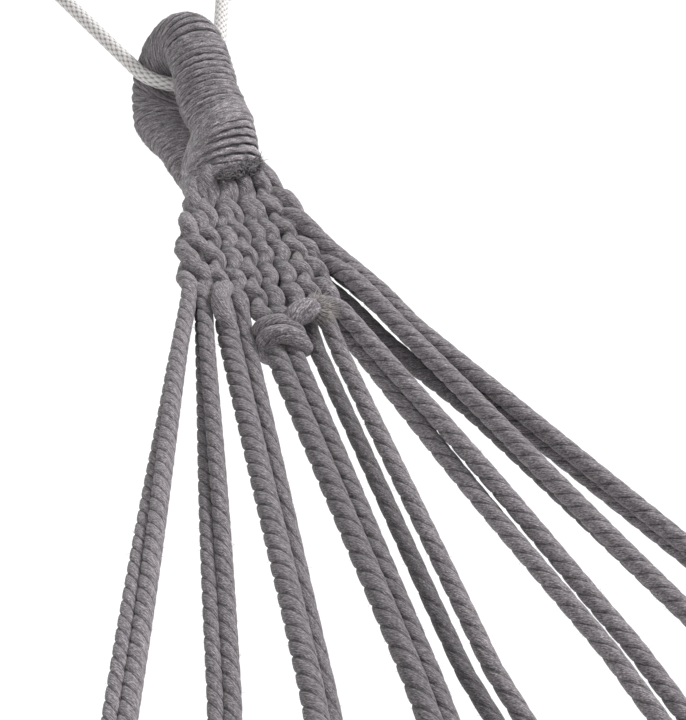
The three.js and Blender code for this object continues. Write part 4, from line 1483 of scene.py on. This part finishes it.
def build_bed():
    grid, cut = bed_grid()
    rows, columns = grid.shape[:2]
    lengths = np.array([arc_lengths(grid[:, c]) for c in range(columns)]).T
    points = grid.reshape(-1, 3) * MM
    index = np.arange(rows * columns).reshape(rows, columns)
    quads = np.stack(
        (index[:-1, :-1], index[1:, :-1], index[1:, 1:], index[:-1, 1:]), axis=-1).reshape(-1, 4)
    u = np.broadcast_to(lengths.mean(axis=1)[:, None], (rows, columns)).ravel()
    v = np.broadcast_to(cut[None, :], (rows, columns)).ravel()
    uvs = np.column_stack((u, v))[quads.ravel()] * MM
    from_side = np.minimum(v, CLOTH_WIDTH - v) / SIDE_HEM
    from_end = np.minimum(u, u.max() - u) / HEM_BAND
    relief = np.clip(np.minimum(from_side, from_end), 0, 1)
    bed = mesh_object("gathered_bed", points, quads.tolist(), uvs, relief)
    group = bed.vertex_groups.new(name="hems")
    thin = CLOTH_FINE_THICKNESS / CLOTH_HEM_THICKNESS
    for weight, chosen in ((1, relief < 1), (thin, relief >= 1)):
        group.add(np.flatnonzero(chosen).tolist(), weight, "REPLACE")
    solid = bed.modifiers.new("thickness", "SOLIDIFY")
    solid.thickness = CLOTH_HEM_THICKNESS * MM
    solid.offset = 0
    solid.vertex_group = group.name
    applied(bed)
    finish_piece(bed, canvas_material, "hammock", ["bed_cloth"])
    sewn = [build_stitches(grid, cut), *(build_eyelets(end) for end in END_NAMES)]


# Materials

def new_material(name, rough):
    material = bpy.data.materials.new(name)
    material.use_nodes = True
    shader = material.node_tree.nodes["Principled BSDF"]
    shader.inputs["Roughness"].default_value = rough
    return material, material.node_tree, shader


def node(tree, kind, **inputs):
    made = tree.nodes.new(kind)
    for key, value in inputs.items():
        made.inputs[key.replace("_", " ")].default_value = value
    return made


def math_node(tree, operation, first, second=None):
    """One step of arithmetic. Each input is a socket or a number."""
    made = tree.nodes.new("ShaderNodeMath")
    made.operation = operation
    for socket, value in zip(made.inputs, (first, second)):
        if isinstance(value, bpy.types.NodeSocket):
            tree.links.new(value, socket)
        elif value is not None:
            socket.default_value = value
    return made.outputs[0]


def mixed(tree, blend, share, first, second):
    mix = tree.nodes.new("ShaderNodeMix")
    mix.data_type = "RGBA"
    mix.blend_type = blend
    mix.inputs[0].default_value = share
    for place, colour in zip(MIX_COLOURS, (first, second)):
        tree.links.new(colour, mix.inputs[place])
    return mix.outputs[MIX_RESULT]


def chosen_value(tree, share, first, second):
    """The first value where the share is zero and the second where it is one."""
    mix = tree.nodes.new("ShaderNodeMix")
    for socket, value in zip(mix.inputs, (share, None, first, second)):
        if value is not None:
            tree.links.new(value, socket)
    return mix.outputs[0]


def noise_on(tree, vector, stretch, detail, scale=1.0):
    """Noise on a pattern that is drawn out along and across the yarn."""
    mapping = node(tree, "ShaderNodeMapping", Scale=(*stretch, 1))
    tree.links.new(vector, mapping.inputs["Vector"])
    noise = node(tree, "ShaderNodeTexNoise", Scale=scale, Detail=detail)
    tree.links.new(mapping.outputs["Vector"], noise.inputs["Vector"])
    return noise.outputs["Fac"]


def ramp_on(tree, value, stops):
    ramp = tree.nodes.new("ShaderNodeValToRGB")
    elements = ramp.color_ramp.elements
    while len(elements) < len(stops):
        elements.new(0.5)
    for element, (place, colour) in zip(elements, stops):
        element.position = place
        element.color = colour
    tree.links.new(value, ramp.inputs["Fac"])
    return ramp.outputs["Color"]


def grey_ramp(tree, value, stops):
    return ramp_on(tree, value, [(place, (level, level, level, 1)) for place, level in stops])


def heather_ramp(tree, value, level, stops):
    """The cotton's own purple-grey: a stop is a place and a share of the level."""
    colours = []
    for place, share in stops:
        tinted = [level * share * tint for tint in HEATHER_TINT]
        colours.append((place, (*tinted, 1)))
    return ramp_on(tree, value, colours)


def split_uv(tree):
    """The place on the piece's own map, and its two parts."""
    uv = tree.nodes.new("ShaderNodeUVMap").outputs["UV"]
    split = tree.nodes.new("ShaderNodeSeparateXYZ")
    tree.links.new(uv, split.inputs[0])
    return uv, split.outputs[0], split.outputs[1]


# Reads the relief attribute, which holds painted shade for the cotton pieces
def relief_of(tree):
    relief = tree.nodes.new("ShaderNodeAttribute")
    relief.attribute_name = "relief"
    return relief.outputs["Fac"]


def bumped(tree, shader, layers, sunk=False):
    """Bumps one over the other: each layer is a height, and its strength and depth in metres."""
    normal = None
    for height, (strength, depth) in layers:
        bump = node(tree, "ShaderNodeBump", Strength=strength, Distance=depth)
        bump.invert = sunk
        tree.links.new(height, bump.inputs["Height"])
        if normal:
            tree.links.new(normal, bump.inputs["Normal"])
        normal = bump.outputs["Normal"]
    tree.links.new(normal, shader.inputs["Normal"])


def fibre_cotton(name, level, groove=CORD_GROOVE_SHADE, streaks=CORD_STREAKS):
    """Heather cotton: light and dark fibres drawn out along the strands, with painted shade in the
    grooves from the relief attribute.
    """
    material, tree, shader = new_material(name, COTTON_ROUGHNESS)
    shader.inputs["Specular IOR Level"].default_value = COTTON_SPECULAR
    shader.inputs["Sheen Weight"].default_value = COTTON_SHEEN
    shader.inputs["Sheen Roughness"].default_value = COTTON_SHEEN_ROUGHNESS
    uv = tree.nodes.new("ShaderNodeUVMap").outputs["UV"]
    streak = noise_on(tree, uv, streaks, STREAK_DETAIL)
    fleck = noise_on(tree, uv, FLECK_SCALES, FLECK_DETAIL)
    patch = noise_on(tree, uv, PATCH_SCALES, PATCH_DETAIL)
    fibres = heather_ramp(tree, streak, level, STREAK_STOPS)
    salt = grey_ramp(tree, fleck, FLECK_STOPS)
    tone = grey_ramp(tree, patch, PATCH_STOPS)
    # Painted shade: darker where the relief is low, down to the groove level
    shade = grey_ramp(tree, relief_of(tree), [(0, groove), *RELIEF_SHADE_STOPS])
    colour = mixed(tree, "MULTIPLY", FLECK_SHARE, fibres, salt)
    colour = mixed(tree, "MULTIPLY", 1, colour, tone)
    colour = mixed(tree, "MULTIPLY", 1, colour, shade)
    tree.links.new(colour, shader.inputs["Base Color"])
    bumped(tree, shader, [(streak, STREAK_BUMP), (fleck, FLECK_BUMP)])
    return material


def frayed_end():
    """Loose yarn between two colours."""
    material, tree, shader = new_material("frayed_end", FRAY_ROUGHNESS)
    place = tree.nodes.new("ShaderNodeTexCoord").outputs["Object"]
    spread = noise_on(tree, place, (1, 1), FRAY_DETAIL, FRAY_SCALE)
    tree.links.new(ramp_on(tree, spread, FRAY_COLOURS), shader.inputs["Base Color"])
    return material


def white_braid():
    """Sixteen glossy strands, eight each way, that pass over and under each other, with painted
    shade towards each strand's edges.
    """
    material, tree, shader = new_material("white_braid", ROPE_ROUGHNESS)
    shader.inputs["Sheen Weight"].default_value = ROPE_SHEEN
    shader.inputs["Coat Weight"].default_value = ROPE_COAT
    shader.inputs["Coat Roughness"].default_value = ROPE_COAT_ROUGHNESS
    uv, run, girth = split_uv(tree)
    round_rope = 2 * math.pi * SLING_RADIUS * MM
    around = math_node(tree, "MULTIPLY", girth, BRAID_STRANDS / round_rope)
    along = math_node(tree, "MULTIPLY", run, BRAID_STRANDS / (BRAID_LAY * MM))
    turns = [math_node(tree, "ADD", around, along), math_node(tree, "SUBTRACT", around, along)]
    floors = [math_node(tree, "FLOOR", turn) for turn in turns]
    over = math_node(tree, "FLOORED_MODULO", math_node(tree, "ADD", *floors), 2)
    bands = []
    for turn in turns:
        middle = math_node(tree, "SUBTRACT", math_node(tree, "FRACT", turn), 0.5)
        bands.append(math_node(tree, "ABSOLUTE", middle))
    across = chosen_value(tree, over, *bands)
    length = chosen_value(tree, over, *reversed(bands))
    shares = [math_node(tree, "MULTIPLY", value, share)
              for value, share in zip((across, length), ROPE_EDGE_SHARES)]
    edge = math_node(tree, "ADD", *shares)
    # White on each strand, painted shade towards its edges and in the gaps
    shade = ramp_on(tree, edge, ROPE_SHADE_COLOURS)
    fine = noise_on(tree, uv, ROPE_FIBRE_SCALES, ROPE_FIBRE_DETAIL)
    tone = grey_ramp(tree, fine, ROPE_FIBRE_STOPS)
    tree.links.new(mixed(tree, "MULTIPLY", 1, shade, tone), shader.inputs["Base Color"])
    bumped(tree, shader, [(edge, ROPE_BUMP)], sunk=True)
    return material


def canvas():
    """Plain-woven canvas: warp and weft yarns in two waves, with heather flecks."""
    material, tree, shader = new_material("grey_canvas", CANVAS_ROUGHNESS)
    shader.inputs["Specular IOR Level"].default_value = CANVAS_SPECULAR
    shader.inputs["Sheen Weight"].default_value = CANVAS_SHEEN
    uv, *ways = split_uv(tree)
    heights = []
    for first, second in (ways, reversed(ways)):
        waves = [math_node(tree, "SINE", math_node(tree, "MULTIPLY", way, rate))
                 for way, rate in zip((first, second), CANVAS_WAVES)]
        heights.append(math_node(tree, "MULTIPLY", *waves))
    weave = math_node(tree, "ADD", *heights)
    warp = noise_on(tree, uv, CANVAS_YARN_SCALES, CANVAS_DETAIL)
    weft = noise_on(tree, uv, CANVAS_YARN_SCALES[::-1], CANVAS_DETAIL)
    patch = noise_on(tree, uv, CANVAS_PATCH_SCALES, CANVAS_DETAIL)
    yarns = [heather_ramp(tree, yarn, 1, CANVAS_STOPS) for yarn in (warp, weft)]
    colour = mixed(tree, "MIX", 0.5, *yarns)
    colour = mixed(tree, "MULTIPLY", 1, colour, grey_ramp(tree, patch, CANVAS_PATCH_STOPS))
    colour = mixed(tree, "MULTIPLY", 1, colour, grey_ramp(tree, relief_of(tree), CANVAS_HEM_STOPS))
    tree.links.new(colour, shader.inputs["Base Color"])
    bumped(tree, shader, [(weave, CANVAS_WEAVE_BUMP), (warp, CANVAS_YARN_BUMP)])
    return material


cotton_materials = [
    fibre_cotton(f"heather_cord_{pair + 1}", level) for pair, level in enumerate(CORD_LEVELS)
]
yarn_material = fibre_cotton("binding_yarn", *BINDING_TONES, YARN_STREAKS)
whipping_material = fibre_cotton("whipping_yarn", *WHIPPING_TONES, YARN_STREAKS)
fibre_material = fibre_cotton("loose_fibre", *FUZZ_TONES)
fray_material = frayed_end()
tuft_material = fibre_cotton("neck_fray", *TUFT_LEVELS)
rope_material = white_braid()
thread_material = fibre_cotton("sewing_thread", *THREAD_TONES, THREAD_STREAKS)
canvas_material = canvas()


# Camera, lamps, world and floor

def build_camera():
    sin_a, cos_a = math.sin(CAMERA_AZIMUTH), math.cos(CAMERA_AZIMUTH)
    sin_e, cos_e = math.sin(CAMERA_ELEVATION), math.cos(CAMERA_ELEVATION)
    back = Vector((sin_a * cos_e, -cos_a * cos_e, sin_e))
    right = Vector((cos_a, sin_a, 0))
    up = back.cross(right)
    target = Vector(placed([apex, 0, 0], "left").tolist())
    scale = CAMERA_DISTANCE * MM / FOCAL_PIXELS
    aside = (APEX_PIXEL[0] - IMAGE_WIDTH / 2) * scale
    above = (IMAGE_HEIGHT / 2 - APEX_PIXEL[1]) * scale
    data = bpy.data.cameras.new("camera")
    data.lens = SENSOR * FOCAL_PIXELS / IMAGE_HEIGHT
    data.sensor_width = SENSOR
    data.clip_start = CLIP_START
    camera = bpy.data.objects.new("camera", data)
    camera.location = target + back * CAMERA_DISTANCE * MM - right * aside - up * above
    turn = Matrix((right, up, back)).transposed()
    camera.rotation_euler = turn.to_euler()
    bpy.context.scene.collection.objects.link(camera)
    bpy.context.scene.camera = camera


def build_sun(name, towards, spread, strength):
    data = bpy.data.lights.new(name, "SUN")
    data.angle = math.radians(spread)
    data.energy = strength
    lamp = bpy.data.objects.new(name, data)
    lamp.rotation_euler = Vector(towards).to_track_quat("Z", "Y").to_euler()
    bpy.context.scene.collection.objects.link(lamp)


def seen_share(tree):
    """1 for rays that draw the background: from the camera, a gloss or a clear body."""
    path = tree.nodes.new("ShaderNodeLightPath")
    seen = path.outputs["Is Camera Ray"]
    for kind in ("Is Glossy Ray", "Is Transmission Ray"):
        seen = math_node(tree, "MAXIMUM", seen, path.outputs[kind])
    return seen


def build_world():
    world = bpy.data.worlds.new("studio")
    world.use_nodes = True
    bpy.context.scene.world = world
    tree = world.node_tree
    background = tree.nodes["Background"]
    background.inputs["Color"].default_value = (1, 1, 1, 1)
    level = tree.nodes.new("ShaderNodeMapRange")
    level.inputs["To Min"].default_value = WORLD_LEVEL
    level.inputs["To Max"].default_value = 1
    tree.links.new(seen_share(tree), level.inputs["Value"])
    tree.links.new(level.outputs["Result"], background.inputs["Strength"])


def build_floor():
    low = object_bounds()[0]
    bpy.ops.object.select_all(action="DESELECT")
    bpy.ops.mesh.primitive_plane_add(
        size=FLOOR_SIZE, location=(span * MM / 2, 0, low.z - FLOOR_DROP))
    floor = bpy.context.object
    floor.name = "floor"
    material, tree, shader = new_material("pale_floor", 1)
    shader.inputs["Base Color"].default_value = FLOOR_COLOUR
    glow = node(tree, "ShaderNodeEmission", Strength=FLOOR_GLOW)
    place = tree.nodes.new("ShaderNodeTexCoord").outputs["Object"]
    grain = noise_on(tree, place, (1, 1), FLOOR_GRAIN_DETAIL, FLOOR_GRAIN_SCALE)
    tree.links.new(grey_ramp(tree, grain, FLOOR_GRAIN_STOPS), glow.inputs["Color"])
    added = tree.nodes.new("ShaderNodeAddShader")
    chosen = tree.nodes.new("ShaderNodeMixShader")
    tree.links.new(shader.outputs[0], added.inputs[0])
    tree.links.new(glow.outputs[0], added.inputs[1])
    tree.links.new(seen_share(tree), chosen.inputs[0])
    tree.links.new(shader.outputs[0], chosen.inputs[1])
    tree.links.new(added.outputs[0], chosen.inputs[2])
    tree.links.new(chosen.outputs[0], tree.nodes["Material Output"].inputs["Surface"])
    floor.data.materials.append(material)


build_camera()
build_world()
build_floor()
for lamp in LAMPS:
    build_sun(*lamp)

for end in END_NAMES:
    build_clew_cords(end)
    build_core(end)
    build_eye_fuzz(end, [build_binding(end), build_neck(end), build_weft(end)])
    build_tuft(end)
    build_sling(end)
build_bed()

bpy.context.scene.view_settings.view_transform = "Standard"
